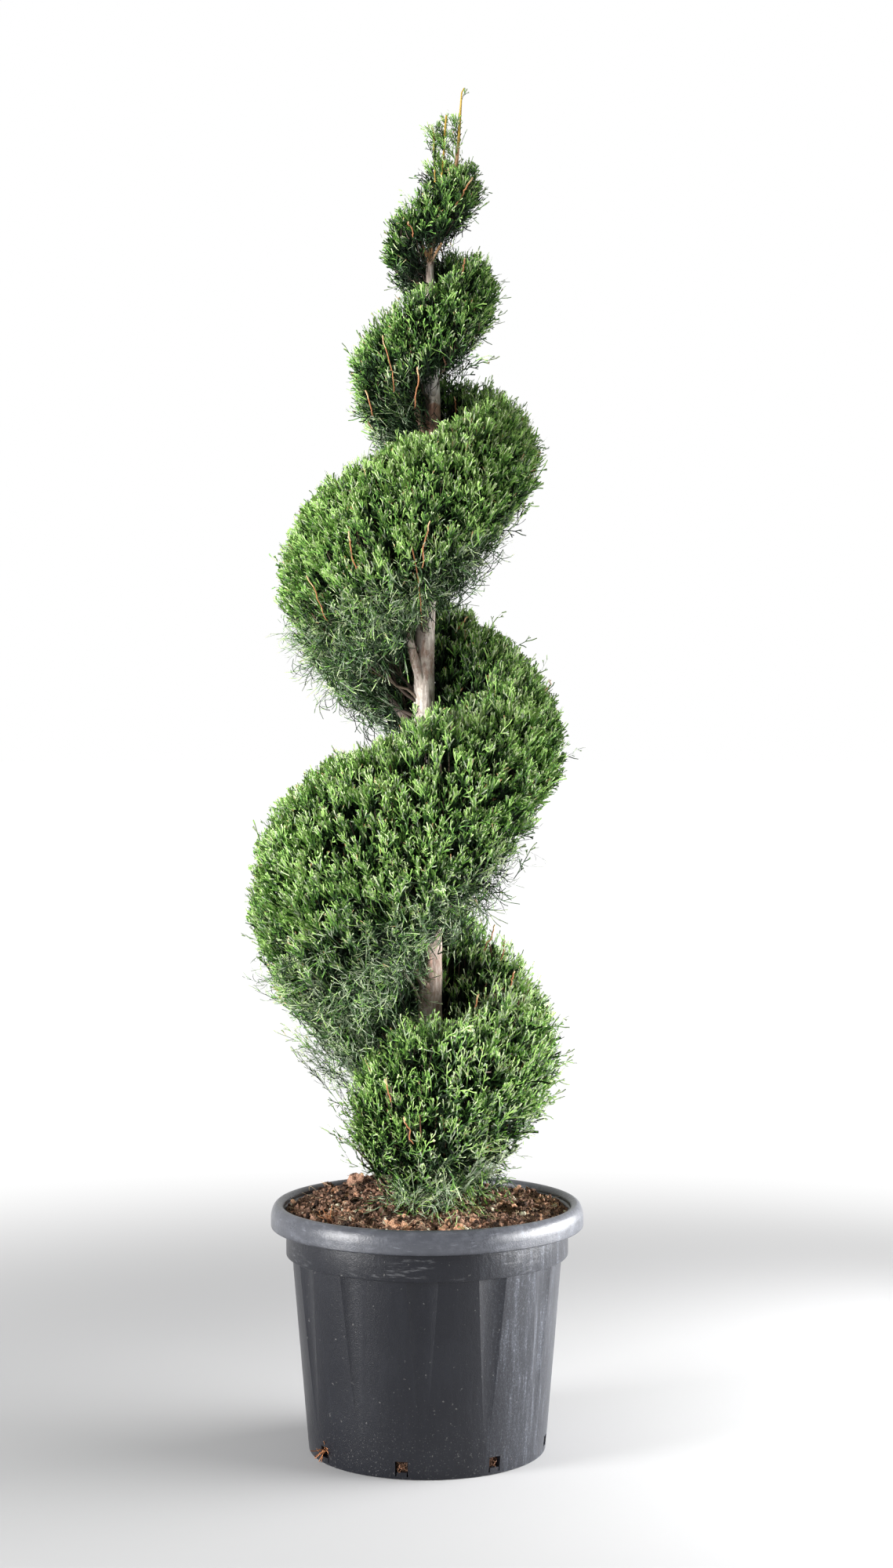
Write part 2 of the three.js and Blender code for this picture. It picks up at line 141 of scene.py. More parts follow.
def edit(piece, select="SELECT"):
    """Opens a piece in edit mode, with all of it selected or none."""
    pick(piece)
    bpy.ops.object.mode_set(mode="EDIT")
    bpy.ops.mesh.select_mode(type="VERT")
    bpy.ops.mesh.select_all(action=select)


def newest(name):
    """The primitive that was just added, with its place applied to its mesh and a name."""
    piece = bpy.context.object
    piece.name = name
    piece.data.name = name
    bpy.ops.object.transform_apply(location=True, rotation=True, scale=True)
    return piece


def corners(piece):
    """The places of a piece's corners as an array."""
    places = np.zeros(len(piece.data.vertices) * 3)
    piece.data.vertices.foreach_get("co", places)
    return places.reshape(-1, 3)


def move_corners(piece, places):
    """Moves a piece's corners to an array of places."""
    piece.data.vertices.foreach_set("co", np.asarray(places, np.float32).ravel())
    piece.data.update()


# %% Turn an outline round the axis
def turned_piece(name, outline, steps):
    """A closed piece from an outline of (radius, height) points that starts and ends on the axis."""
    clear_selection()
    bpy.ops.mesh.primitive_plane_add(size=MM, location=(outline[0][0], 0, outline[0][1]))
    piece = newest(name)
    edit(piece)
    bpy.ops.mesh.merge(type="CENTER")
    for here, there in zip(outline, outline[1:]):
        step = (there[0] - here[0], 0, there[1] - here[1])
        bpy.ops.mesh.extrude_region_move(TRANSFORM_OT_translate={"value": step})
    bpy.ops.mesh.select_all(action="SELECT")
    bpy.ops.mesh.spin(steps=steps, angle=FULL, center=(0, 0, 0), axis=(0, 0, 1))
    bpy.ops.mesh.select_all(action="SELECT")
    bpy.ops.mesh.remove_doubles(threshold=1e-6)
    bpy.ops.mesh.normals_make_consistent(inside=False)
    bpy.ops.object.mode_set(mode="OBJECT")
    print(name, "is turned from", len(outline), "points:", len(piece.data.polygons), "faces")
    return piece


def apply_modifier(piece, kind, **settings):
    """Adds a modifier to a piece, sets it and applies it."""
    pick(piece)
    bpy.ops.object.modifier_add(type=kind)
    modifier = piece.modifiers[-1]
    for key, value in settings.items():
        setattr(modifier, key, value)
    bpy.ops.object.modifier_apply(modifier=modifier.name)


# %% [markdown]
# ## Tools for finishes
# A finish is a node tree. Its sums are written as plain Python: a Wire is an output socket that can be
# added to, multiplied and so on, and each sum adds its Math node. Every other node comes from one method.

# %% Wires
class Wire:
    """An output socket of a finish, with the sums of Python."""

    def __init__(self, finish, socket):
        self.finish = finish
        self.socket = socket

    def maths(self, operation, first, second):
        """The result of a new Math node."""
        return self.finish.node("ShaderNodeMath", {"operation": operation}, {0: first, 1: second})

    def __add__(self, other):
        return self.maths("ADD", self, other)

    def __sub__(self, other):
        return self.maths("SUBTRACT", self, other)

    def __rsub__(self, other):
        return self.maths("SUBTRACT", other, self)

    def __mul__(self, other):
        return self.maths("MULTIPLY", self, other)

    __radd__ = __add__
    __rmul__ = __mul__


# %% Finishes
class Finish:
    """A material with a Principled shader, and the nodes that feed it."""

    def __init__(self, name, colour, roughness, specular=0.5):
        self.material = bpy.data.materials.new(name)
        self.material.use_nodes = True
        self.material.diffuse_color = (*colour, 1)
        self.tree = self.material.node_tree
        self.shader = self.tree.nodes["Principled BSDF"]
        self.set(self.shader, "Base Color", (*colour, 1))
        self.set(self.shader, "Roughness", roughness)
        self.set(self.shader, "Specular IOR Level", specular)

    def set(self, node, key, value):
        """Links a wire to a node's input, or writes a plain value there."""
        if isinstance(value, Wire):
            self.tree.links.new(value.socket, node.inputs[key])
        else:
            node.inputs[key].default_value = value

    def node(self, kind, settings=None, inputs=None, out=0):
        """A new node: its settings first, then the values or wires of its inputs."""
        made = self.tree.nodes.new(kind)
        for key, value in (settings or {}).items():
            setattr(made, key, value)
        for key, value in (inputs or {}).items():
            self.set(made, key, value)
        return Wire(self, made.outputs[out])

    def place(self, stretch=(1, 1, 1)):
        """The place on the object, in metres, squeezed along each axis."""
        where = self.node("ShaderNodeTexCoord", out="Object")
        return self.node("ShaderNodeVectorMath", {"operation": "MULTIPLY"}, {0: where, 1: stretch})

    def along(self, axis):
        """One coordinate of the place on the object: X, Y or Z."""
        return self.node("ShaderNodeSeparateXYZ", inputs={0: self.place()}, out=axis)

    def speckle(self, scale, detail=3.0, stretch=(1, 1, 1), rough=0.5):
        """Soft noise from 0 to 1, with this many grains to a metre."""
        where = self.place(stretch)
        inputs = {"Vector": where, "Scale": scale, "Detail": detail, "Roughness": rough}
        return self.node("ShaderNodeTexNoise", inputs=inputs)

    def ramp(self, value, low, high):
        """How far a value has gone from low to high, from 0 to 1, eased at both ends."""
        settings = {"interpolation_type": "SMOOTHSTEP"}
        inputs = {"Value": value, "From Min": low, "From Max": high}
        return self.node("ShaderNodeMapRange", settings, inputs)

    def band(self, value, low, full, wane, high):
        """A rise from 0 at low to 1 at full, and a fall from 1 at wane to 0 at high."""
        return self.ramp(value, low, full) * self.ramp(value, high, wane)

    def mix(self, share, first, second):
        """A colour between two."""
        first, second = [c if isinstance(c, Wire) else (*c, 1) for c in (first, second)]
        return self.node("ShaderNodeMix", {"data_type": "RGBA"}, {0: share, 6: first, 7: second}, out=2)

    def feed(self, colour, roughness=None):
        """Gives the shader its colour, and its roughness where that changes over the surface too."""
        self.set(self.shader, "Base Color", colour)
        if roughness is not None:
            self.set(self.shader, "Roughness", roughness)

    def relief(self, height, distance, strength=1.0):
        """Raises the surface by a wire's value, as a bump."""
        inputs = {"Height": height, "Distance": distance, "Strength": strength}
        self.set(self.shader, "Normal", self.node("ShaderNodeBump", inputs=inputs))


# %% Settle a piece
def settle(piece, finishes, nodes=()):
    """Gives a piece its finishes as material slots, rides it on the body, and hides the nodes that it
    replaces.
    """
    for finish in finishes:
        piece.data.materials.append(finish.material)
    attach(piece, BODY)
    if nodes:
        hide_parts(*nodes)
    print(piece.name, "is settled with", len(piece.data.polygons), "faces")


# %% [markdown]
# ## The pot
# A nursery pot is blown from black plastic: a tapering body, a collar that stands proud of it, and a
# rolled rim that is open underneath. All of it is turned from one outline. Twelve shallow flutes stiffen
# the body. Each is widest under the collar and runs out towards the foot, which is the shape that a cone
# cuts out of a wall, so twelve leaning cones are taken away from the turned shell in one cut.

# %% Sizes of the pot
POT_HEIGHT = 0.373
FOOT_RADIUS = 0.179
BODY_RADIUS = 0.204
COLLAR_RADIUS = 0.213
COLLAR_FOOT = 0.2955
RIM_RADIUS = 0.236
RIM_FOOT = 0.3385
LIP_RADIUS = 0.216
RIM_CROWN = 0.225
RIM_SHOULDER = 0.022
LIP_DROP = 0.010
COLLAR_ROW = 0.327  # a row of corners part of the way up the collar
COLLAR_TOP = 0.359
WALL = 0.0035
BODY_WALL = 0.0085
LEDGE = 0.004
FOOT_ROUND = 0.003
EDGE = 0.0015
INSIDE = COLLAR_RADIUS - WALL
POT_FLOOR = 0.004
POT_STEPS = 240


def body_radius(height):
    """The outside radius of the pot's tapered body at a height."""
    return FOOT_RADIUS + (BODY_RADIUS - FOOT_RADIUS) * height / COLLAR_FOOT


wall_lean = math.degrees(math.atan2(BODY_RADIUS - FOOT_RADIUS, COLLAR_FOOT))
print("the pot's wall leans out by", round(wall_lean, 1), "degrees")


# %% Turn the pot's shell
def arc(middle, radius, start, end, count):
    """Points of an arc of (radius, height), its angles in degrees."""
    angles = np.radians(np.linspace(start, end, count))
    return [(middle[0] + radius * math.cos(a), middle[1] + radius * math.sin(a)) for a in angles]


def oval(crown, wide, tall, start, end, count):
    """Points of a quarter of an oval under its crown, a (radius, height) point, its angles in degrees."""
    angles = np.radians(np.linspace(start, end, count))
    return [(crown[0] + wide * math.cos(a), crown[1] - tall + tall * math.sin(a)) for a in angles]


pot_outline = [
    (0, 0),
    (FOOT_RADIUS * 0.5, 0),
    *arc((FOOT_RADIUS - FOOT_ROUND, FOOT_ROUND), FOOT_ROUND, -90, 0, 5),
    *[(body_radius(z), z) for z in np.linspace(0.02, COLLAR_FOOT - MM, 12)],
    *arc((COLLAR_RADIUS - EDGE, COLLAR_FOOT + EDGE), EDGE, -80, 0, 4),
    (COLLAR_RADIUS, COLLAR_ROW),
    (COLLAR_RADIUS, COLLAR_TOP),
    (RIM_RADIUS - WALL, COLLAR_TOP),
    (RIM_RADIUS - WALL, RIM_FOOT + EDGE),
    *arc((RIM_RADIUS - WALL / 2, RIM_FOOT + WALL / 2), WALL / 2, 180, 360, 6),
    *oval((RIM_CROWN, POT_HEIGHT), RIM_RADIUS - RIM_CROWN, RIM_SHOULDER, 0, 90, 12),
    *oval((RIM_CROWN, POT_HEIGHT), RIM_CROWN - LIP_RADIUS, LIP_DROP, 105, 180, 6),
    (INSIDE, POT_HEIGHT - 2 * LIP_DROP + 2 * MM),
    (INSIDE, COLLAR_FOOT + LEDGE),
    (body_radius(COLLAR_FOOT) - BODY_WALL, COLLAR_FOOT - LEDGE),
    (body_radius(POT_FLOOR) - BODY_WALL, POT_FLOOR),
    (0, POT_FLOOR),
]
pot = turned_piece("pot_shell", pot_outline, POT_STEPS)

# %% Size a cone for a flute
FLUTES = 12
FLUTE_FIRST = -92
FLUTE_WIDTH = 0.050
FLUTE_DEPTH = 0.0062
FLUTE_TOP = COLLAR_FOOT - EDGE
FLUTE_END = 0.034
CONE_END_SHARE = 0.35
CONE_LONGER = 1.15
CONE_STEPS = 160


def cone_for_flute():
    """How far out the middle of a flute's cone stands at the flute's top, and its radius there."""
    wall = body_radius(FLUTE_TOP)
    half = FLUTE_WIDTH / 2
    edge = math.sqrt(wall**2 - half**2)
    reach = edge - (wall - FLUTE_DEPTH)
    radius = (reach**2 + half**2) / (2 * reach)
    return wall - FLUTE_DEPTH + radius, radius


cone_middle, cone_radius = cone_for_flute()
print("a flute's cone has a radius of", round(cone_radius / MM, 1), "mm at the flute's top")


# %% Model the cutters of the flutes
def copy_round(piece, first, count):
    """Copies of a piece round the axis, each with its own mesh, joined into one with the piece itself."""
    pick(piece)
    bpy.ops.object.duplicate()
    copies = [bpy.context.object]
    for _ in range(count - 1):
        bpy.ops.object.duplicate()
        copies.append(bpy.context.object)
    for index, copy in enumerate(copies):
        copy.rotation_euler.z = math.radians(first + index * 360 / count)
    bpy.data.objects.remove(piece)
    pick(*copies)
    bpy.ops.object.join()
    bpy.ops.object.transform_apply(location=True, rotation=True, scale=True)
    return copies[0]


cone_end_radius = cone_radius * CONE_END_SHARE
cone_end_middle = body_radius(FLUTE_END) + cone_end_radius
lean = math.atan2(cone_middle - cone_end_middle, FLUTE_TOP - FLUTE_END)
cone_length = (FLUTE_TOP - FLUTE_END) / math.cos(lean) * CONE_LONGER
top_radius = cone_end_radius + (cone_radius - cone_end_radius) * CONE_LONGER
top_middle = cone_end_middle + (cone_middle - cone_end_middle) * CONE_LONGER
top_height = FLUTE_END + (FLUTE_TOP - FLUTE_END) * CONE_LONGER
cone_place = ((cone_end_middle + top_middle) / 2, 0, (FLUTE_END + top_height) / 2)
clear_selection()
bpy.ops.mesh.primitive_cone_add(
    vertices=CONE_STEPS,
    radius1=cone_end_radius,
    radius2=top_radius,
    depth=cone_length,
    location=cone_place,
    rotation=(0, lean, 0),
)
flute = newest("flute_cutter")
edit(flute)
bpy.ops.mesh.bisect(plane_co=(0, 0, FLUTE_TOP), plane_no=(0, 0, 1), use_fill=True, clear_outer=True)
bpy.ops.object.mode_set(mode="OBJECT")
flutes = copy_round(flute, FLUTE_FIRST, FLUTES)
print("flute cones lean by", round(math.degrees(lean), 1), "degrees")

# %% [markdown]
# Eight drain notches stand at the foot of the wall. Each is a square window with a thin slit down either
# side of the tab below it. Three blocks cut them.

# %% Model the cutters of the drain notches
NOTCHES = 8
NOTCH_FIRST = -102
NOTCH_WIDTH = 0.019
NOTCH_FOOT = 0.011
NOTCH_TOP = 0.027
SLIT = 0.002
NOTCH_DEEP = 0.030


def block(name, low, high):
    """A box between two opposite corners."""
    middle = [(a + b) / 2 for a, b in zip(low, high)]
    clear_selection()
    bpy.ops.mesh.primitive_cube_add(size=1, location=middle, scale=[b - a for a, b in zip(low, high)])
    return newest(name)


def notch_cutter():
    """The block of a notch's window, joined with the blocks of its two slits."""
    inner, outer = FOOT_RADIUS - NOTCH_DEEP / 2, FOOT_RADIUS + NOTCH_DEEP / 2
    half = NOTCH_WIDTH / 2
    window = block("notch_cutter", (inner, -half, NOTCH_FOOT), (outer, half, NOTCH_TOP))
    slits = []
    for side in (-half, half - SLIT):
        low = (inner, side, POT_FLOOR + MM / 2)
        slits.append(block("slit_cutter", low, (outer, side + SLIT, NOTCH_FOOT + MM)))
    for slit in slits:
        apply_modifier(window, "BOOLEAN", operation="UNION", solver="EXACT", object=slit)
        bpy.data.objects.remove(slit)
    return window


notches = copy_round(notch_cutter(), NOTCH_FIRST, NOTCHES)
print("cutters of the notches:", len(notches.data.polygons), "faces")

# %% Cut the shell
for cutter in (flutes, notches):
    apply_modifier(pot, "BOOLEAN", operation="DIFFERENCE", solver="EXACT", object=cutter)
    bpy.data.objects.remove(cutter)
pick(pot)
bpy.ops.object.shade_smooth_by_angle(angle=math.radians(14))
print("pot_shell has", len(pot.data.polygons), "faces after the cuts")

# %% [markdown]
# The plastic is black with a soft shine. A fine grain breaks the shine up, and handling has left pale scuffs
# on the collar and scratches round the rim, whose paler band is partly a painted sheen. Watering has left
# streaks of dust down the right of the body, where a painted sheen lightens it too, and dry specks cling
# near the foot. Each of these is a mask of noise, bounded by height or side, and the masks both lighten the
# colour and change the shine.

# %% Finish of black nursery plastic
CLEAN_BLACK = (0.0052, 0.0058, 0.0092)
FILM_GREY = (0.095, 0.105, 0.13)
DUST_AND_SHEEN_GREY = (0.36, 0.39, 0.46)
SPECK_GREY = (0.20, 0.195, 0.185)
SCUFF_GREY = (0.34, 0.345, 0.36)
RIM_WEAR_AND_SHEEN_GREY = (0.30, 0.315, 0.36)


def plastic_finish():
    """Black plastic with a film, dust and a painted sheen on the right, specks and scuffs, and a rim made
    paler by handling and by a painted sheen.
    """
    finish = Finish("black_nursery_plastic", (0.012, 0.0125, 0.015), 0.34, 0.42)
    height = finish.along("Z")
    side = finish.along("X")
    # Dust and a painted sheen on the right of the pot, in streaks that ran down and in pits, and a thin film
    # all over.
    broad = finish.speckle(9, 4)
    runs = finish.speckle(1.0, 5, stretch=(120, 120, 7), rough=0.6)
    streaks = finish.ramp(runs, 0.46, 0.70)
    pits = finish.ramp(finish.speckle(330, 3, rough=0.6), 0.50, 0.66)
    right = finish.ramp(side, 0.055, 0.15)
    dust_and_sheen = right * (streaks * 0.46 + 0.20) * (0.35 + pits * 0.65)
    film = finish.ramp(broad, 0.46, 0.70) * 0.024 + streaks * 0.018
    # Dry specks that are thicker near the foot, and a few larger drops.
    grains = finish.ramp(finish.speckle(420, 2), 0.63, 0.72)
    low = finish.ramp(height, 0.14, 0.01)
    specks = grains * (low * 0.28 + 0.03)
    drops = finish.ramp(finish.speckle(150, 2), 0.70, 0.76) * 0.35
    # Scuffs on the collar, and a rim that hands have rubbed pale and scratched, its whole band lightened as
    # a painted sheen too.
    body = finish.ramp(height, 0.334, 0.328)
    collar = finish.ramp(height, 0.296, 0.302) * body
    rubbed = finish.ramp(finish.speckle(42, 6, stretch=(1, 1, 5), rough=0.65), 0.50, 0.70)
    scuffs = collar * rubbed * finish.ramp(finish.speckle(14, 2), 0.44, 0.62)
    rim = finish.ramp(height, 0.334, 0.345)
    handled = rim * finish.ramp(finish.speckle(45, 6, stretch=(1, 1, 2), rough=0.65), 0.44, 0.70)
    scratches = finish.ramp(finish.speckle(1.0, 3, stretch=(60, 60, 330)), 0.62, 0.70) * rim
    # The masks lighten the black one after another, and most of them dull it.
    worn = finish.mix(film, CLEAN_BLACK, FILM_GREY)
    # The dust and the painted sheen on the right lighten the black here.
    worn = finish.mix(dust_and_sheen * 0.52, worn, DUST_AND_SHEEN_GREY)
    worn = finish.mix(specks + drops * body, worn, SPECK_GREY)
    worn = finish.mix(scuffs * 0.20, worn, SCUFF_GREY)
    # The rim's whole band is lightened partly as a painted sheen; its rubbed patches and scratches are wear.
    worn = finish.mix(rim * 0.17 + handled * 0.10 + scratches * 0.14, worn, RIM_WEAR_AND_SHEEN_GREY)
    dull = broad * 0.10 + (scuffs + specks) * 0.3 + dust_and_sheen * 0.12 - rim * 0.04 + handled * 0.05
    finish.feed(worn, 0.27 + dull)
    grain = finish.speckle(650, 2) * 0.7 + finish.speckle(150, 4, stretch=(1, 1, 0.5), rough=0.6)
    finish.relief(grain, 0.0009, 0.5)
    return finish


settle(pot, [plastic_finish()], ["pot"])

# %% [markdown]
# ## The soil
# The pot is full to just under its rim with dark reddish-brown potting soil, loose and lumpy. A bed is
# turned like the pot and then raised and sunk by noise. Crumbs and clods lie on it: five lumps are modelled
# once, each from a ball of triangles, and thousands of copies are turned, stretched and sunk into the bed.

# %% Turn the bed of soil
SOIL_EDGE = 0.3595
SOIL_MIDDLE = 0.3665
SOIL_BRIM = 0.2145
SOIL_GAP = 0.0006
BED_RINGS = 64
BED_STEPS = 220


def soil_layer(x, y, rise, level, grain):
    """One layer of lumps and hollows: its greatest rise, a level in the noise, and its grains to a metre."""
    return rise * noise.noise(Vector((x, y, level)) * grain)


def soil_height(x, y):
    """The height of the bed: a low mound with lumps, higher behind on the left, calmer at the wall."""
    out = min(1.0, math.hypot(x, y) / SOIL_BRIM)
    mound = SOIL_EDGE + (SOIL_MIDDLE - SOIL_EDGE) * (1 - out**2)
    behind = 0.019 * math.exp(-((x + 0.085) ** 2 + (y - 0.145) ** 2) / 0.006)
    coarse = soil_layer(x, y, 0.0075, 0.3, 30)
    middle = soil_layer(x, y, 0.0070, 1.7, 75)
    fine = soil_layer(x, y, 0.0045, 4.1, 190)
    calm = min(1.0, max(0.0, (1 - out) * 14))
    return mound + behind * calm + (coarse + middle) * (0.25 + 0.75 * calm) + fine * (0.4 + 0.6 * calm)


bed_outline = [
    (0, POT_FLOOR + SOIL_GAP),
    (body_radius(POT_FLOOR) - BODY_WALL - SOIL_GAP, POT_FLOOR + SOIL_GAP),
    (body_radius(COLLAR_FOOT) - BODY_WALL - SOIL_GAP, COLLAR_FOOT - LEDGE),
    (INSIDE - SOIL_GAP, COLLAR_FOOT + LEDGE + MM),
    (INSIDE - SOIL_GAP, POT_HEIGHT - 2 * LIP_DROP),
    *[(SOIL_BRIM * (1 - k / BED_RINGS), SOIL_EDGE) for k in range(BED_RINGS + 1)],
]
bed = turned_piece("soil_bed", bed_outline, BED_STEPS)
bed_places = corners(bed)
top = bed_places[:, 2] > SOIL_EDGE - MM
bed_places[top, 2] = [soil_height(x, y) for x, y, z in bed_places[top]]
move_corners(bed, bed_places)
pick(bed)
bpy.ops.object.shade_smooth()

# %% Join many copies of small shapes as one mesh
def mesh_from_arrays(name, places, faces, tones, smooth=False):
    """A piece from its corners, its faces, all with as many corners, and each face's finish by number."""
    mesh = bpy.data.meshes.new(name)
    sides = faces.shape[1]
    mesh.vertices.add(len(places))
    mesh.vertices.foreach_set("co", np.asarray(places, np.float32).ravel())
    mesh.loops.add(faces.size)
    mesh.loops.foreach_set("vertex_index", np.asarray(faces, np.int32).ravel())
    mesh.polygons.add(len(faces))
    mesh.polygons.foreach_set("loop_start", np.arange(0, faces.size, sides, dtype=np.int32))
    mesh.polygons.foreach_set("material_index", np.asarray(tones, np.int32))
    mesh.polygons.foreach_set("use_smooth", np.full(len(faces), smooth))
    mesh.update(calc_edges=True)
    piece = bpy.data.objects.new(name, mesh)
    bpy.context.collection.objects.link(piece)
    return piece


def random_turns(rng, count):
    """As many random turns in space, as 3 by 3 arrays."""
    q = rng.normal(size=(count, 4))
    w, x, y, z = (q / np.linalg.norm(q, axis=1, keepdims=True)).T
    rows = [
        [1 - 2 * (y * y + z * z), 2 * (x * y - w * z), 2 * (x * z + w * y)],
        [2 * (x * y + w * z), 1 - 2 * (x * x + z * z), 2 * (y * z - w * x)],
        [2 * (x * z - w * y), 2 * (y * z + w * x), 1 - 2 * (x * x + y * y)],
    ]
    return np.moveaxis(np.array(rows), 2, 0)


def copies_of(shape, faces, middles, frames):
    """The corners and faces of copies of a shape, each with its own middle and 3 by 3 frame."""
    places = np.einsum("nij,kj->nki", frames, shape) + middles[:, None, :]
    numbered = faces[None] + (np.arange(len(middles)) * len(shape))[:, None, None]
    return places.reshape(-1, 3), numbered.reshape(-1, faces.shape[1])


# %% Model the lumps of soil
def lump(name, rounds, roughness, seed):
    """A ball of triangles, dented by noise: its corners and its faces."""
    clear_selection()
    bpy.ops.mesh.primitive_ico_sphere_add(subdivisions=rounds, radius=1)
    ball = newest(name)
    places = corners(ball)
    for index, place in enumerate(places):
        dent = noise.noise(Vector(place) * 1.7 + Vector((seed, 0, 0)))
        places[index] = place * (1 + roughness * dent)
    faces = np.array([list(face.vertices) for face in ball.data.polygons])
    bpy.data.objects.remove(ball)
    return places, faces


CLOD_SHAPES = [lump("clod", 2, 1.15, seed) for seed in (1, 5, 9)]
CRUMB_SHAPES = [lump("crumb", 1, 0.6, seed) for seed in (2, 6)]
print("a clod has", len(CLOD_SHAPES[0][1]), "faces and a crumb has", len(CRUMB_SHAPES[0][1]))

# %% Place lumps
LUMP_FLATTER = 0.75
LUMP_RAISED = 0.25


def soil_spots(rng, count, keep):
    """Places on the bed, at least this far from the wall."""
    out = (SOIL_BRIM - keep) * np.sqrt(rng.random(count))
    angle = FULL * rng.random(count)
    spots = np.stack([out * np.cos(angle), out * np.sin(angle), np.zeros(count)], axis=1)
    spots[:, 2] = [soil_height(x, y) for x, y, z in spots]
    return spots


def scatter_lumps(name, shapes, rng, spots, sizes, tones):
    """Lumps of these sizes on these spots, joined as one piece."""
    places, faces, colours, first = [], [], [], 0
    for index, (shape, shape_faces) in enumerate(shapes):
        chosen = np.arange(len(spots)) % len(shapes) == index
        size = sizes[chosen]
        stretch = np.stack([rng.uniform(0.75, 1.25, size.size) * size for _ in range(3)], axis=1)
        stretch[:, 2] *= LUMP_FLATTER
        frames = random_turns(rng, size.size) * stretch[:, None, :]
        middles = spots[chosen] + np.stack([0 * size, 0 * size, size * LUMP_RAISED], axis=1)
        part, part_faces = copies_of(shape, shape_faces, middles, frames)
        places.append(part)
        faces.append(part_faces + first)
        colours.append(np.repeat(tones[chosen], len(shape_faces)))
        first += len(part)
    places, faces, colours = [np.concatenate(parts) for parts in (places, faces, colours)]
    return mesh_from_arrays(name, places, faces, colours)


# %% Choose a brown for each lump
SOIL_BROWNS = [
    ("soil_near_black", (0.040, 0.025, 0.019)),
    ("soil_dark_brown", (0.155, 0.090, 0.062)),
    ("soil_red_brown", (0.370, 0.215, 0.148)),
    ("soil_rust", (0.640, 0.365, 0.230)),
    ("soil_tan", (0.840, 0.660, 0.500)),
]


def redness(spots):
    """How rusty the soil is at each spot: more so at the front, on the left and a little on the right."""
    x, y = spots[:, 0], spots[:, 1]
    front = np.exp(-((x - 0.005) ** 2 + (y + 0.16) ** 2) / 0.005)
    left = np.exp(-((x + 0.13) ** 2 + (y + 0.02) ** 2) / 0.006)
    right = np.exp(-((x - 0.17) ** 2 + (y - 0.02) ** 2) / 0.006)
    return 0.8 * front + 0.8 * left + 0.5 * right


def brown_tones(rng, spots, lighter=0.0):
    """A brown for each spot, from 0 for near black to 4 for tan."""
    value = rng.normal(1.05 + lighter, 1.15, len(spots)) + 1.3 * redness(spots)
    return np.clip(np.round(value), 0, 4).astype(int)


print("browns of the soil:", len(SOIL_BROWNS))

# %% Scatter crumbs and clods
CRUMBS = 9000
CLODS = 360
FEW_LARGE = 2.6  # the power that makes most lumps small
HEAP_LARGER = 1.3
CLOD_OVER_BRIM = 0.004
rng = np.random.default_rng(31)
crumb_spots = soil_spots(rng, CRUMBS, 0.004)
crumb_sizes = 0.0008 + 0.0030 * rng.random(CRUMBS) ** FEW_LARGE
crumb_tones = brown_tones(rng, crumb_spots)
crumbs = scatter_lumps("soil_crumbs", CRUMB_SHAPES, rng, crumb_spots, crumb_sizes, crumb_tones)
clod_spots = soil_spots(rng, CLODS, 0.010)
clod_sizes = (0.0026 + 0.0062 * rng.random(CLODS) ** FEW_LARGE) * (0.8 + 0.6 * redness(clod_spots))
heap = (clod_spots[:, 1] > 0.10) & (clod_spots[:, 0] < 0.0)
clod_sizes[heap] *= HEAP_LARGER
wall_gap = SOIL_BRIM + CLOD_OVER_BRIM - np.hypot(clod_spots[:, 0], clod_spots[:, 1])
clod_sizes = np.minimum(clod_sizes, wall_gap)
clod_tones = brown_tones(rng, clod_spots, -0.1)
clods = scatter_lumps("soil_clods", CLOD_SHAPES, rng, clod_spots, clod_sizes, clod_tones)
print("scattered", CRUMBS, "crumbs and", CLODS, "clods, the largest", round(clod_sizes.max() / MM, 1), "mm")

# %% [markdown]
# The soil itself is dull, with colour that changes from grain to grain. The crumbs and clods share a set of
# browns from near black to tan, and their relief comes from their own shapes and a fine bump.

# %% Finishes of the soil
SOIL_ROUGHNESS = 0.92
SOIL_SHINE = 0.2


def soil_finish(name, colour):
    """A dull brown whose grains are lighter and darker than its middle colour."""
    finish = Finish(name, colour, SOIL_ROUGHNESS, SOIL_SHINE)
    dark = tuple(c * 0.55 for c in colour)
    light = tuple(min(1, c * 1.5) for c in colour)
    finish.feed(finish.mix(finish.ramp(finish.speckle(700, 3), 0.35, 0.65), dark, light))
    finish.relief(finish.speckle(1100, 3), 0.0008, 0.8)
    return finish


def bed_finish():
    """The bed between the lumps: damp and drier patches, and paler grains."""
    finish = Finish("soil_bed_brown", (0.05, 0.022, 0.013), SOIL_ROUGHNESS, SOIL_SHINE)
    drier = finish.ramp(finish.speckle(30, 4), 0.42, 0.66)
    grains = finish.ramp(finish.speckle(520, 3), 0.40, 0.66)
    base = finish.mix(drier, (0.045, 0.027, 0.020), (0.150, 0.085, 0.058))
    finish.feed(finish.mix(grains * 0.7, base, (0.40, 0.235, 0.155)))
    finish.relief(finish.speckle(450, 4), 0.003, 0.9)
    return finish


soil_browns = [soil_finish(name, colour) for name, colour in SOIL_BROWNS]
settle(bed, [bed_finish()], ["soil"])
settle(crumbs, soil_browns)
settle(clods, soil_browns)

# %% [markdown]
# ## Numbers that the plant grows by
# The clipped spiral is a rope. At each turn round the trunk it has a height, a reach and a half height, and
# smooth lines run between those rows. Everything green, and every bough, is placed by these few rows. Turn
# 0 faces right as seen from the front, a quarter turn faces back, and half a turn faces left.

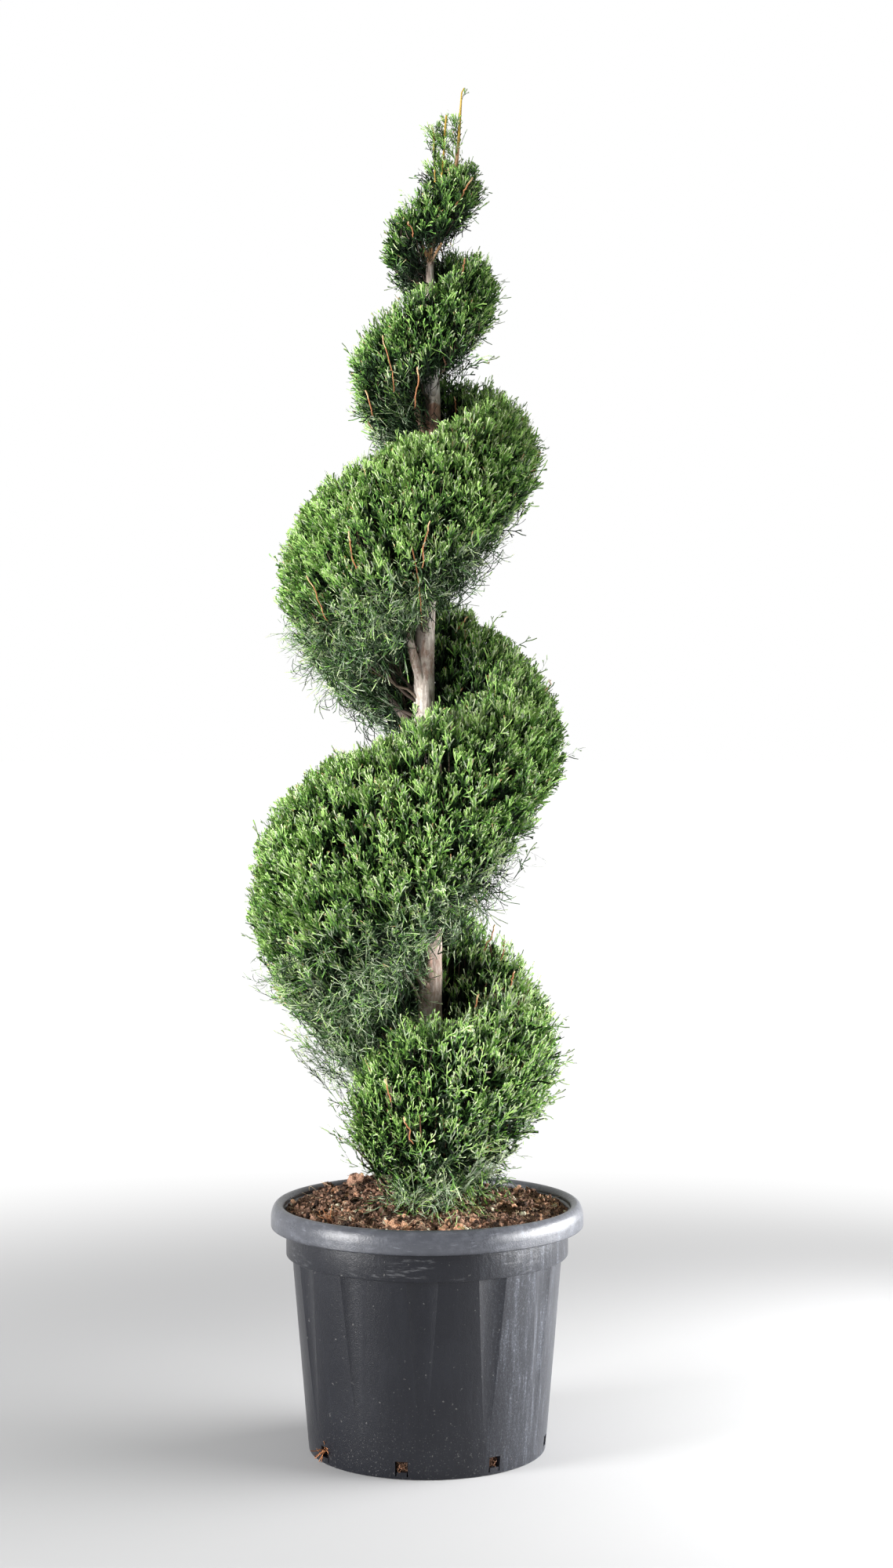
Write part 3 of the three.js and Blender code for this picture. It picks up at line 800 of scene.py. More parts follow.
# %% Rows of the spiral and of the trunk
SPIRAL = np.array([  # turn, height of the rope's middle, reach from the axis, half height
    (-0.5, 0.490, 0.170, 0.130),
    (0.0, 0.585, 0.210, 0.138),
    (0.5, 0.810, 0.270, 0.205),
    (1.0, 1.060, 0.210, 0.130),
    (1.5, 1.295, 0.225, 0.145),
    (2.0, 1.485, 0.170, 0.110),
    (2.5, 1.610, 0.115, 0.080),
    (3.0, 1.730, 0.110, 0.070),
    (3.5, 1.805, 0.070, 0.042),
    (4.0, 1.890, 0.083, 0.050),
    (4.5, 1.945, 0.035, 0.030),
])
SPIRAL_START, SPIRAL_END = -0.46, 4.3
START_ROUND, END_ROUND = 0.14, 0.3
INNER_REACH = 0.028
INNER_SHARE = 0.3
UNDERCUT = 0.36
UNDER_TRIM = 0.017
THINNEST = 0.006
MASSES = 14

TRUNK = np.array([  # height, x and y of the middle, radius
    (0.36635, 0.000, 0.000, 0.0210),
    (0.730, 0.005, 0.002, 0.0170),
    (1.170, -0.004, 0.000, 0.0155),
    (1.560, 0.008, -0.002, 0.0120),
    (1.780, 0.004, 0.000, 0.0055),
    (1.935, 0.044, 0.000, 0.0030),
    (2.040, 0.052, 0.000, 0.0012),
])
UP = np.array((0.0, 0.0, 1.0))
print("rows of the spiral:", len(SPIRAL), "and of the trunk:", len(TRUNK))


# %% Smooth lines between the rows
def slopes(rows, column):
    """The slope of a smooth line at each of its rows, level wherever the rows turn back."""
    rise = np.diff(rows[:, column]) / np.diff(rows[:, 0])
    before, after = rise[:-1], rise[1:]
    same = before * after > 0
    inner = np.where(same, 2 * before * after / np.where(same, before + after, 1), 0)
    return np.concatenate([rise[:1], inner, rise[-1:]])


def smooth(rows, place, column):
    """The value of a column at places along the first column, on a line that never overshoots a row."""
    place = np.asarray(place, float)
    row = np.clip(np.searchsorted(rows[:, 0], place, side="right") - 1, 0, len(rows) - 2)
    width = rows[row + 1, 0] - rows[row, 0]
    t = np.clip((place - rows[row, 0]) / width, 0, 1)
    slope = slopes(rows, column)
    ease = t * t * (3 - 2 * t)
    leave = t * (1 - t) ** 2 * width * slope[row]
    arrive = t * t * (t - 1) * width * slope[row + 1]
    return rows[row, column] * (1 - ease) + rows[row + 1, column] * ease + leave + arrive


def passed(value, start, run):
    """From 0 at a start to 1 after a run. Where the run is negative, it counts the other way."""
    return np.clip((value - start) / run, 0, 1)


def hump(value, middle, width):
    """A smooth hump that is 1 at its middle and nearly 0 at two widths from it."""
    return np.exp(-(((value - middle) / width) ** 2))


print("a quarter turn up, the rope reaches out to", round(float(smooth(SPIRAL, 0.25, 2)), 3), "m")

# %% Points of the clipped face
def section(turn):
    """The rope's section at each turn: its height, its middle's distance out, and its two half sizes."""
    start = passed(turn, SPIRAL_START, START_ROUND)
    end = passed(turn, SPIRAL_END, -END_ROUND)
    grown = np.sqrt(1 - (1 - start) ** 2) * np.sqrt(1 - (1 - end) ** 2)
    reach = smooth(SPIRAL, turn, 2)
    inner = np.minimum(INNER_REACH, INNER_SHARE * reach)
    tall = smooth(SPIRAL, turn, 3) * grown
    return smooth(SPIRAL, turn, 1), (reach + inner) / 2, (reach - inner) / 2 * grown, tall


def outwards(turn):
    """The level direction from the axis at each turn."""
    angle = FULL * np.asarray(turn, float)
    return np.stack([np.cos(angle), np.sin(angle), np.zeros_like(angle)], axis=-1)


def under_trim(turn):
    """How much shorter the underside is cut: less where the first coil passes the left, more on the next."""
    trim = UNDER_TRIM * passed(turn, 2.4, -0.6) * passed(turn, 0.1, 0.3)
    return trim * (1 - 0.6 * hump(turn, 0.5, 0.22) + 0.6 * hump(turn, 1.5, 0.25))


def face_point(turn, around, depth=0.0):
    """Points of the clipped face, or of a face that lies deeper by a depth."""
    height, middle, wide, tall = section(turn)
    tuck = 1 - UNDERCUT * np.maximum(0, -np.sin(around))
    out = middle + np.maximum(THINNEST, wide - depth) * np.cos(around) * tuck
    below = np.sin(around) < 0
    rise = height + np.maximum(THINNEST, tall - depth - under_trim(turn) * below) * np.sin(around)
    return outwards(turn) * out[..., None] + UP * rise[..., None]


def trunk_middle(height):
    """The middle of the trunk at each height."""
    x, y = smooth(TRUNK, height, 1), smooth(TRUNK, height, 2)
    return np.stack([x, y, np.asarray(height, float)], axis=-1)


def unit(vectors):
    """The same directions, each 1 long."""
    return vectors / np.maximum(np.linalg.norm(vectors, axis=-1, keepdims=True), 1e-9)


rope_ends = [round(float(smooth(SPIRAL, turn, 1)), 3) for turn in (SPIRAL_START, SPIRAL_END)]
print("the middle of the rope climbs from", rope_ends[0], "m to", rope_ends[1], "m")

# %% [markdown]
# ## Trunk and boughs
# The trunk is a long pole that leans a little one way and then the other, and flares at the soil. It could
# be a bevelled curve, but bark needs relief in the mesh, so a circle is extruded ring by ring into a
# straight tube, and each ring is then moved to its place, its radius roughened by stretched noise. The
# boughs that carry the spiral are shorter tubes of the same kind, and so are the few forks that show
# between the coils.

# %% Extrude a tube ring by ring
def ringed_tube(name, sides, rings):
    """A straight closed tube of radius 1, its rings 1 apart: the piece, and each corner's ring and angle."""
    clear_selection()
    bpy.ops.mesh.primitive_circle_add(vertices=sides, radius=1, fill_type="NGON")
    tube = newest(name)
    edit(tube)
    for _ in range(rings - 1):
        bpy.ops.mesh.extrude_region_move(TRANSFORM_OT_translate={"value": (0, 0, 1)})
    bpy.ops.mesh.select_all(action="SELECT")
    bpy.ops.mesh.normals_make_consistent(inside=False)
    bpy.ops.object.mode_set(mode="OBJECT")
    places = corners(tube)
    return tube, np.round(places[:, 2]).astype(int), np.arctan2(places[:, 1], places[:, 0])


def bark_relief(angle, height, seed):
    """How far the bark stands out, as a share of the radius: long plates, fine fibres, broad swellings."""
    side = Vector((math.cos(angle), math.sin(angle), 0))
    plates = noise.noise(Vector((side.x * 2.2, side.y * 2.2, height * 11 + seed)))
    fibres = noise.noise(Vector((side.x * 6.5, side.y * 6.5, height * 34 + seed)))
    swelling = noise.noise(Vector((side.x * 0.8, side.y * 0.8, height * 7 + seed + 3)))
    return 0.07 * plates + 0.05 * fibres + 0.10 * swelling


# %% Model the trunk
TRUNK_SIDES = 44
TRUNK_RINGS = 260
TRUNK_TOP = 2.046
TRUNK_SUNK = 0.006
RINGS_CLOSER = 1.05  # the power that sets the rings a little closer near the soil
TIP_LEAN = 0.6
BARK_CREASE = math.radians(50)
FLARE = 0.45
FLARE_HEIGHT = 0.022
ROOTS = 5

trunk, ring, angle = ringed_tube("trunk_bark", TRUNK_SIDES, TRUNK_RINGS)
foot, tip = TRUNK[0, 0], TRUNK[-1, 0]
share = np.linspace(0, 1, TRUNK_RINGS)
heights = foot - TRUNK_SUNK + (TRUNK_TOP - foot + TRUNK_SUNK) * share**RINGS_CLOSER
middles = trunk_middle(heights)
middles[:, 0] += np.maximum(0, heights - tip) * TIP_LEAN
sizes = smooth(TRUNK, heights, 3)
flare = FLARE * np.exp(-np.maximum(0, heights - foot) / FLARE_HEIGHT)
relief = np.array([bark_relief(a, heights[k], 0.0) for a, k in zip(angle, ring)])
radius = sizes[ring] * (1 + flare[ring] * (1 + 0.5 * np.cos(ROOTS * angle))) * (1 + relief)
side = np.stack([np.cos(angle), np.sin(angle), np.zeros_like(angle)], axis=1)
move_corners(trunk, middles[ring] + side * radius[:, None])
pick(trunk)
bpy.ops.object.shade_smooth_by_angle(angle=BARK_CREASE)
print("trunk_bark:", len(trunk.data.polygons), "faces")

# %% Wind a tube along a line
BOUGH_DROP = 0.3
BOUGH_RISE = 0.85
BOUGH_REACH = 0.8
BOUGH_THICKNESS = 0.46
BOUGH_TAPER = 0.5
BOUGH_SIDES = 14
BOUGH_RINGS = 22
BOUGH_WANDER = 0.0011
MASS_TURNS = (SPIRAL_END - SPIRAL_START) / MASSES  # how much of the rope one bough carries


def bough_line(turn, shares, reach=BOUGH_REACH, drop=BOUGH_DROP, rise=BOUGH_RISE):
    """Points along a bough that carries the rope at a turn, and the trunk's radius where it leaves."""
    height, middle, wide, tall = section(np.asarray(turn, float))
    low = trunk_middle(height - tall * (1 + drop))
    out = outwards(turn) * (middle * reach)
    lift = UP * (tall * rise)
    t = shares[:, None]
    return low + out * t + lift * (0.7 * t + 0.3 * t**2), float(smooth(TRUNK, low[2], 3))


def wind_tube(tube, ring, angle, line, radii, seed):
    """Moves a straight tube's rings onto a line."""
    along = unit(np.gradient(line, axis=0))
    across = unit(np.cross(along, np.array((0.3, 1.0, 0.1))))
    beside = np.cross(along, across)
    relief = np.array([bark_relief(a, line[k, 2] * 1.5, seed) for a, k in zip(angle, ring)])
    radius = (radii[ring] * (1 + relief * 1.2))[:, None]
    spread = across[ring] * np.cos(angle)[:, None] + beside[ring] * np.sin(angle)[:, None]
    move_corners(tube, line[ring] + spread * radius)


print("a bough carries", round(MASS_TURNS, 2), "turns of the rope")

# %% Model the boughs
rng = np.random.default_rng(52)
boughs = []
shares = np.linspace(0, 1, BOUGH_RINGS)
for index in range(MASSES):
    turn = SPIRAL_START + MASS_TURNS * (index + 0.5)
    line, girth = bough_line(turn, shares)
    wander = np.cumsum(rng.normal(0, BOUGH_WANDER, (BOUGH_RINGS, 3)), axis=0) * shares[:, None]
    radii = girth * BOUGH_THICKNESS * (1 - BOUGH_TAPER * shares) * (1 + 0.5 * np.exp(-shares * 14))
    tube, ring, angle = ringed_tube(f"bough_{index + 1:02d}_bark", BOUGH_SIDES, BOUGH_RINGS)
    wind_tube(tube, ring, angle, line + wander, radii, seed=index * 7.3)
    boughs.append(tube)
print("boughs:", len(boughs))

# %% Model the forks and join the tubes
FORKS = [  # three points along each of the forks that show from the front, and the radius at their foot
    ((-0.007, -0.005, 1.152), (-0.020, -0.018, 1.195), (-0.034, -0.032, 1.245), 0.0075),
    ((0.006, -0.004, 0.690), (-0.024, -0.018, 0.735), (-0.060, -0.030, 0.800), 0.0075),
    ((0.006, -0.002, 1.500), (-0.010, -0.016, 1.545), (-0.026, -0.026, 1.595), 0.0060),
    ((0.004, -0.002, 1.782), (-0.002, -0.014, 1.798), (-0.011, -0.022, 1.816), 0.0026),
    ((0.004, -0.002, 1.783), (0.002, -0.015, 1.806), (0.000, -0.024, 1.838), 0.0020),
    ((0.004, -0.002, 1.782), (0.012, -0.014, 1.796), (0.022, -0.020, 1.812), 0.0026),
    ((0.004, -0.002, 1.784), (0.008, -0.013, 1.804), (0.012, -0.022, 1.828), 0.0021),
]
FORK_SIDES = 20
FORK_TAPER = 0.25
forks = []
for index, (*points, girth) in enumerate(FORKS):
    line = np.array([np.interp(shares * 2, range(3), column) for column in np.array(points).T]).T
    line[1:-1] = (line[:-2] + line[2:] + line[1:-1]) / 3
    radii = girth * (1 - FORK_TAPER * shares) * (1 + 0.35 * np.exp(-shares * 9))
    tube, ring, angle = ringed_tube(f"fork_{index + 1}_bark", FORK_SIDES, BOUGH_RINGS)
    wind_tube(tube, ring, angle, line, radii, seed=40 + index)
    forks.append(tube)
for name, tubes in (("boughs_bark", boughs), ("forks_bark", forks)):
    pick(*tubes)
    bpy.ops.object.join()
    tubes[0].name = name
    bpy.ops.object.shade_smooth_by_angle(angle=BARK_CREASE)
    print(name, "has", len(tubes[0].data.polygons), "faces")

# %% [markdown]
# The bark of this conifer is pale grey-brown and stringy. It peels in long strips, and where a strip has
# just come away it is reddish brown. The finish mixes these by noises that are stretched upwards. Bands of
# height make it darker and browner from under the lowest lobe down to the soil, as painted shade, redder at
# one crotch and where it has peeled lately, nearly white above that, as painted light, and golden along the
# young leader. The boughs share the finish, darkened by painted shade.

# %% Finish of the bark
BARK_DARK = (0.38, 0.315, 0.27)
BARK_LIGHT = (0.76, 0.70, 0.63)
BARK_PAINTED_LIGHT = (0.96, 0.92, 0.88)
BARK_SHADED = (0.09, 0.065, 0.052)
PEELED_DARK = (0.14, 0.055, 0.035)
PEELED_LIGHT = (0.45, 0.25, 0.17)
YOUNG_DARK = (0.26, 0.10, 0.035)
YOUNG_LIGHT = (0.60, 0.33, 0.10)
LEADER_GOLD = (0.55, 0.38, 0.07)


def bark_finish(name, shade):
    """Grey bark with peeling strips, its pale parts darkened by a shade from 0 to 1."""
    finish = Finish(name, (0.33, 0.26, 0.21), 0.85, 0.25)
    height = finish.along("Z")
    strips = finish.speckle(1.0, 6, stretch=(240, 240, 55), rough=0.65)
    plates = finish.speckle(1.0, 3, stretch=(75, 75, 20))
    peeled = finish.ramp(finish.speckle(1.0, 3, stretch=(46, 46, 9)), 0.50, 0.62)
    lately = finish.band(height, 1.50, 1.53, 1.570, 1.582)
    mottle = finish.ramp(finish.speckle(120, 5, stretch=(1, 1, 0.6), rough=0.65), 0.50, 0.68)
    flakes = finish.ramp(finish.speckle(1.0, 5, stretch=(110, 110, 60), rough=0.7), 0.42, 0.60)
    grey = finish.mix(finish.ramp(strips, 0.32, 0.66), BARK_DARK, BARK_LIGHT)
    grey = finish.mix(flakes * 0.40, grey, (0.36, 0.27, 0.22))
    grey = finish.mix(mottle * 0.8, grey, (0.16, 0.11, 0.09))
    grey = finish.mix(shade, grey, BARK_SHADED)
    # Painted shade: the bark is darker and browner below about 0.8 m, under the lowest lobe.
    grey = finish.mix(finish.ramp(height, 0.86, 0.80) * 0.5, grey, (0.26, 0.165, 0.125))
    crotch = finish.band(height, 1.150, 1.180, 1.195, 1.225)
    grey = finish.mix(crotch * (0.25 + flakes * 0.45), grey, (0.24, 0.13, 0.09))
    # Painted light: a nearly white band from 1.58 m to 1.66 m, where the trunk shows between the upper
    # coils.
    pale = finish.band(height, 1.582, 1.595, 1.64, 1.66)
    grey = finish.mix(pale * 0.7, grey, BARK_PAINTED_LIGHT)
    grey = finish.mix(finish.ramp(plates, 0.60, 0.75) * 0.5, grey, (0.20, 0.12, 0.09))
    red = finish.mix(finish.ramp(strips, 0.35, 0.65), PEELED_DARK, PEELED_LIGHT)
    share = finish.ramp(peeled * 0.8 + lately, 0.6, 1.1)
    young = finish.ramp(height, 1.775, 1.800)
    colour = finish.mix(share * 0.85, grey, red)
    colour = finish.mix(young * 0.8, colour, finish.mix(strips, YOUNG_DARK, YOUNG_LIGHT))
    golden = finish.ramp(height, 1.95, 1.98)
    colour = finish.mix(golden * 0.9, colour, LEADER_GOLD)
    finish.feed(colour, 0.78 + strips * 0.15)
    finish.relief(strips * 0.7 + plates, 0.0016, 0.8)
    return finish


bough_nodes = [f"bough_{index + 1:02d}" for index in range(MASSES)]
bark = bark_finish("stringy_bark", 0.0)
settle(trunk, [bark], ["trunk"])
settle(forks[0], [bark])
settle(boughs[0], [bark_finish("shaded_bark", 0.75)], bough_nodes)

# %% [markdown]
# ## One cord, one spray
# The foliage has no needles that could be seen from a step away: its tiny scales lie flat on green cords,
# about two millimetres wide, that fork in one plane like coral. One cord is a narrow blade, modelled once
# from a plane that is twisted a little from its root to its blunt tip. A spray is up to twenty-two such
# blades on a forking line. Five kinds are drawn by a seeded rule: an upright brush, as the shears leave it,
# a longer, looser frond, a wisp with thinner cords, a thin curved strand from the shaded side, and an old
# broad spray of few blades for the inside.

# %% Model the blade
BLADE_TWIST = math.radians(38)
BLADE_ROOT = 0.72


def model_blade():
    """A blade 1 long and 1 wide, narrower at its root and twisted to its tip: its corners and two faces."""
    clear_selection()
    bpy.ops.mesh.primitive_plane_add(size=1, location=(0.5, 0, 0))
    blade = newest("blade")
    for corner in blade.data.vertices:
        corner.select = corner.co.x > 0.5
    bpy.ops.object.mode_set(mode="EDIT")
    bpy.ops.mesh.select_mode(type="VERT")
    bpy.ops.transform.rotate(value=BLADE_TWIST, orient_axis="X", center_override=(1, 0, 0))
    bpy.ops.mesh.select_all(action="INVERT")
    bpy.ops.transform.resize(value=(1, BLADE_ROOT, 1), center_override=(0, 0, 0))
    bpy.ops.mesh.select_all(action="SELECT")
    bpy.ops.mesh.quads_convert_to_tris()
    bpy.ops.object.mode_set(mode="OBJECT")
    places = corners(blade)
    faces = np.array([list(face.vertices) for face in blade.data.polygons])
    bpy.data.objects.remove(blade)
    root_first = np.argsort(places[faces, 0].mean(axis=1))
    return places, faces[root_first]


BLADE, BLADE_FACES = model_blade()
print("a blade has", len(BLADE), "corners and", len(BLADE_FACES), "faces")

# %% Draw a spray blade by blade
TILTED = 0.35  # how much blades are tilted out of the spray's plane
COLOURED_AT = 0.7  # how far along a blade its colour is judged
NEXT_FROM = 0.86  # how far along a blade the next one starts, so that no gap shows


class Spray:
    """A spray that is being drawn in its own plane, 1 long, from its root along X."""

    def __init__(self, rng):
        self.rng = rng
        self.places = []
        self.ends = []

    def blade(self, root, heading, length, width, tilt=0.0):
        """Adds a blade from a root in the heading's direction, and returns where it ends."""
        out = Vector((math.cos(heading), math.sin(heading), tilt)).normalized()
        flat = Vector((self.rng.normal(0, TILTED), self.rng.normal(0, TILTED), 1))
        across = flat.cross(out).normalized()
        over = out.cross(across)
        frame = np.array([out * length, across * width, over * width]).T
        self.places.append(BLADE @ frame.T + np.array(root))
        self.ends.append(root.x + out.x * length * COLOURED_AT)
        return root + out * (length * NEXT_FROM)


# %% Draw a clipped brush
BRUSH_CORD = 0.038


def clipped_brush(rng):
    """An upright spray: a stem that forks into three leaders whose cords fork again at their short tips."""
    spray = Spray(rng)
    wide = BRUSH_CORD
    top = spray.blade(Vector((0, 0, 0)), rng.normal(0, 0.05), 0.50, wide * 0.8)
    for leader in (-1, 0, 1):
        angle = leader * math.radians(rng.uniform(12, 28)) + rng.normal(0, 0.08)
        tilt = rng.normal(0, 0.25)
        start = top * rng.uniform(0.78, 1.0)
        knee = spray.blade(start, angle, rng.uniform(0.24, 0.34), wide, tilt)
        bend = angle * 0.8 + rng.choice((-1, 1)) * math.radians(rng.uniform(22, 42))
        spray.blade(start.lerp(knee, rng.uniform(0.5, 0.8)), bend, rng.uniform(0.11, 0.17), wide, tilt)
        room = max(0.20, 1.04 - knee.x)
        for side in (-1, 1):
            bend = angle * 0.6 + side * math.radians(rng.uniform(9, 24))
            tilt = rng.normal(0, 0.3)
            twig = spray.blade(knee, bend, room * rng.uniform(0.45, 0.75), wide, tilt)
            tips = (-1,) if leader == 0 else (-1, 1) if side < 0 else (rng.choice((-1, 1)),)
            for tip in tips:
                bent = bend + tip * math.radians(rng.uniform(12, 34))
                spray.blade(twig, bent, 0.13, wide * 1.1, tilt)
        spray.blade(knee, angle * 0.5 + rng.normal(0, 0.1), room * rng.uniform(0.6, 0.95), wide, tilt)
    return spray


# %% Draw a frond and a wisp
FROND_JOINTS = 6
WISP_SLIM = 0.55


def hanging_frond(rng, slim=1.0):
    """A longer, looser spray like a fern: a curved line, and side cords by turns that fork at their tips."""
    spray = Spray(rng)
    root = Vector((0, 0, 0))
    heading = rng.normal(0, 0.1)
    curl = rng.normal(0, 0.10)
    side = rng.choice((-1, 1))
    for index in range(FROND_JOINTS):
        out = 1 - index / 10
        root = spray.blade(root, heading, 0.205, 0.024 * slim, rng.normal(0, 0.1))
        heading += curl + rng.normal(0, 0.05)
        if index == FROND_JOINTS - 1:
            break
        angle = heading + side * math.radians(rng.uniform(30, 48))
        tilt = rng.normal(0, 0.25)
        knee = spray.blade(root, angle, 0.19 * out, 0.028 * slim, tilt)
        for tip in (-1, 1):
            bent = angle + tip * math.radians(rng.uniform(12, 28)) - side * 0.2
            spray.blade(knee, bent, 0.12 * out, 0.030 * slim, tilt)
        side = -side
    spray.blade(root, heading - 0.4 * side, 0.12, 0.030 * slim, 0)
    return spray


def wisp(rng):
    """A frond with cords about half as thick, for the strays."""
    return hanging_frond(rng, WISP_SLIM)


# %% Draw a strand and an old spray
STRAND_JOINTS = 7


def bare_strand(rng):
    """A long thin spray from the shaded side: a curved line, and side lines that curve on beside it."""
    spray = Spray(rng)
    root = Vector((0, 0, 0))
    curl = rng.choice((-1, 1)) * rng.uniform(0.14, 0.44)
    heading = -2.5 * curl
    side = rng.choice((-1, 1))
    for index in range(STRAND_JOINTS):
        following = spray.blade(root, heading, 0.172, 0.0145, rng.normal(0, 0.15))
        if 0 < index < STRAND_JOINTS - 1:
            angle = heading + side * math.radians(rng.uniform(22, 40))
            bend = curl + rng.normal(0, 0.12)
            tilt = rng.normal(0, 0.25)
            place = root
            for length in (0.15, 0.13, 0.10):
                place = spray.blade(place, angle, length * (1.15 - index * 0.08), 0.0135, tilt)
                angle += bend
            side = -side
        heading += curl
        root = following
    return spray


def old_spray(rng):
    """A broad dark spray of few blades, for the inside of the rope."""
    spray = Spray(rng)
    root = Vector((0, 0, 0))
    for index in range(3):
        following = spray.blade(root, rng.normal(0, 0.2), 0.38, 0.050, rng.normal(0, 0.3))
        for side in (-1, 1):
            angle = side * math.radians(rng.uniform(25, 60))
            spray.blade(following, angle, 0.34, 0.055, rng.normal(0, 0.3))
        root = following
    return spray


# %% Draw several sprays of each kind
BLADES = 22  # the most that a spray keeps
SPRAYS_OF_A_KIND = 14


def drawn(kind, rng):
    """Several sprays of a kind: their corners, and how far along the spray each blade is."""
    sprays = [kind(rng) for _ in range(SPRAYS_OF_A_KIND)]
    places = np.array([spray.places[:BLADES] for spray in sprays])
    return places, np.array([spray.ends[:BLADES] for spray in sprays])


rng = np.random.default_rng(8)
BRUSHES = drawn(clipped_brush, rng)
FRONDS = drawn(hanging_frond, rng)
STRANDS = drawn(bare_strand, rng)
WISPS = drawn(wisp, rng)
OLD_SPRAYS = drawn(old_spray, rng)
kinds = (BRUSHES, FRONDS, STRANDS, WISPS, OLD_SPRAYS)
print("blades of a spray of each kind:", [kind[0].shape[1] for kind in kinds])

# %% [markdown]
# ## Greens
# The clipped face is brightest where the newest growth stands in the light, and nearly black in the depth.
# Nine plain colours run from that dark, which is painted shade, to the pale cut tips, which are partly
# painted highlights, and the tan cut tips, with a blue and a grey green for the shaded sides. They are dealt
# out
# blade by blade: by how far along its spray a blade is, how deep the spray sits, and which side of the rope
# it is on, so that the depth and the side paint shade and light into the greens.

# %% Finishes of the foliage
GREENS = [
    # The first green is painted shade for the depth of the rope.
    ("foliage_depth_shade", (0.006, 0.013, 0.006)),
    ("foliage_deep", (0.022, 0.052, 0.017)),
    ("foliage_blue", (0.128, 0.198, 0.108)),
    ("foliage_middle", (0.066, 0.152, 0.036)),
    ("foliage_fresh", (0.155, 0.335, 0.062)),
    ("foliage_bright", (0.330, 0.530, 0.140)),
    # The pale cut tips also stand in for painted highlights.
    ("foliage_pale_tip_and_highlight", (0.560, 0.655, 0.360)),
    ("foliage_tan_tip", (0.400, 0.220, 0.100)),
    ("foliage_grey", (0.340, 0.400, 0.280)),
]
DEPTH_SHADE, DEEP, BLUE, MIDDLE, FRESH, BRIGHT, PALE_TIP_AND_HIGHLIGHT, TAN, GREY = range(9)
LIGHTER = np.array([DEEP, MIDDLE, GREY, FRESH, BRIGHT, BRIGHT, PALE_TIP_AND_HIGHLIGHT, TAN, PALE_TIP_AND_HIGHLIGHT])  # the tip for each of them
LEAF_ROUGHNESS = 0.5
LEAF_SHINE = 0.16
greens = [Finish(name, colour, LEAF_ROUGHNESS, LEAF_SHINE) for name, colour in GREENS]
print("colours of the foliage:", len(greens))

# %% Deal the greens out
PATCH_WAVES = 6
TIP_FROM = 0.72  # how far along a spray its tips start
TONE_STEPS = (0.40, 0.58, 0.77, 0.98)


def patches(places, seed, size=0.09):
    """Smooth patches from about -1 to 1 over the plant, with this distance between them."""
    rng = np.random.default_rng(seed)
    total = np.zeros(places.shape[:-1])
    for _ in range(PATCH_WAVES):
        wave = rng.normal(size=3)
        wave *= FULL / size / np.linalg.norm(wave) * rng.uniform(0.6, 1.6)
        total += np.sin(places @ wave + rng.uniform(0, FULL))
    return total / 2.4


def blade_tones(rng, ends, vigour_and_light, blue):
    """Two greens for each blade of each spray, one for its root and one for its tip."""
    value = 0.86 * ends + 0.75 * vigour_and_light[:, None] - 0.18 + rng.normal(0, 0.14, ends.shape)
    tone = np.select([value < step for step in TONE_STEPS], [DEPTH_SHADE, DEEP, MIDDLE, FRESH], BRIGHT)
    luck = rng.random(ends.shape)
    shaded = (luck < blue[:, None]) & (tone >= DEEP)
    tone = np.where(shaded & (tone >= FRESH), GREY, tone)
    tone = np.where(shaded & (tone == MIDDLE), BLUE, tone)
    at_tip = ends > TIP_FROM
    beyond = np.where(at_tip & (tone > DEPTH_SHADE) & (rng.random(ends.shape) < 0.6), LIGHTER[tone], tone)
    # Pale tips, partly painted highlights, are commoner on livelier sprays.
    beyond = np.where(at_tip & (luck > 1 - 0.45 * np.clip(vigour_and_light, 0, 1)[:, None]), PALE_TIP_AND_HIGHLIGHT, beyond)
    tone = np.where(at_tip & (luck > 0.93), beyond, tone)
    beyond = np.where(at_tip & (luck > 0.985), TAN, beyond)
    return np.stack([tone, beyond], axis=-1)


# %% [markdown]
# ## The clipped face
# Sprays are set all over the rope with their tips on the clipped face. Each leans the way its branch came:
# out and up from the foot of its section, more upright on top, and drooping underneath, where the growth
# is longer, thinner and bluer. They stand thinner on the lowest lobe, and some are left out so that the
# trunk shows between the coils, as it does on the real plant.

# %% Measure the face
STEP = 1e-4  # of a turn or an around, small enough to give a slope


def face_frame(turn, around):
    """The outward direction of the face, and how much face one whole turn and around would cover."""
    along = face_point(turn + STEP, around) - face_point(turn - STEP, around)
    over = face_point(turn, around + STEP) - face_point(turn, around - STEP)
    normal = np.cross(along, over)
    size = np.linalg.norm(normal, axis=1)
    return normal / np.maximum(size, 1e-12)[:, None], size / (4 * STEP * STEP)


# %% Thin the sprays where the plant is thin
def underneath(around):
    """From 0 on the sides and top of the rope to 1 on its underside."""
    return np.clip(-np.sin(around) * 1.6 - 0.40, 0, 1)


def thinning(turn, around):
    """How dense the sprays stand, from 0 to 1."""
    under = underneath(around)
    inner = np.clip(-np.cos(around) - 0.2, 0, 1)
    lobe = passed(turn, 0.22, -0.3)
    airy = lobe * under * (1 + outwards(turn)[:, 0].clip(0))
    return 1 - 0.25 * under - 0.45 * inner * (1 - under) - 0.16 * lobe - 0.16 * airy


def hanging(around):
    """From 0 to 1 on the underside next to the trunk, where the growth hangs lowest."""
    return np.clip(-np.sin(around), 0, 1) * np.clip(0.45 - 0.7 * np.cos(around), 0, 1)


# %% Spread sprays over the face
TRIES = 14  # spots that are drawn for each one that is kept
DENSER_ABOVE = 0.45


def climbed(turn):
    """From 0 at the foot of the spiral to 1 at its top."""
    return passed(turn, 0, SPIRAL_END)


def climb_value(pair, turn):
    """A value between a pair, one for the foot of the spiral and one for its top."""
    return pair[0] + (pair[1] - pair[0]) * climbed(turn)


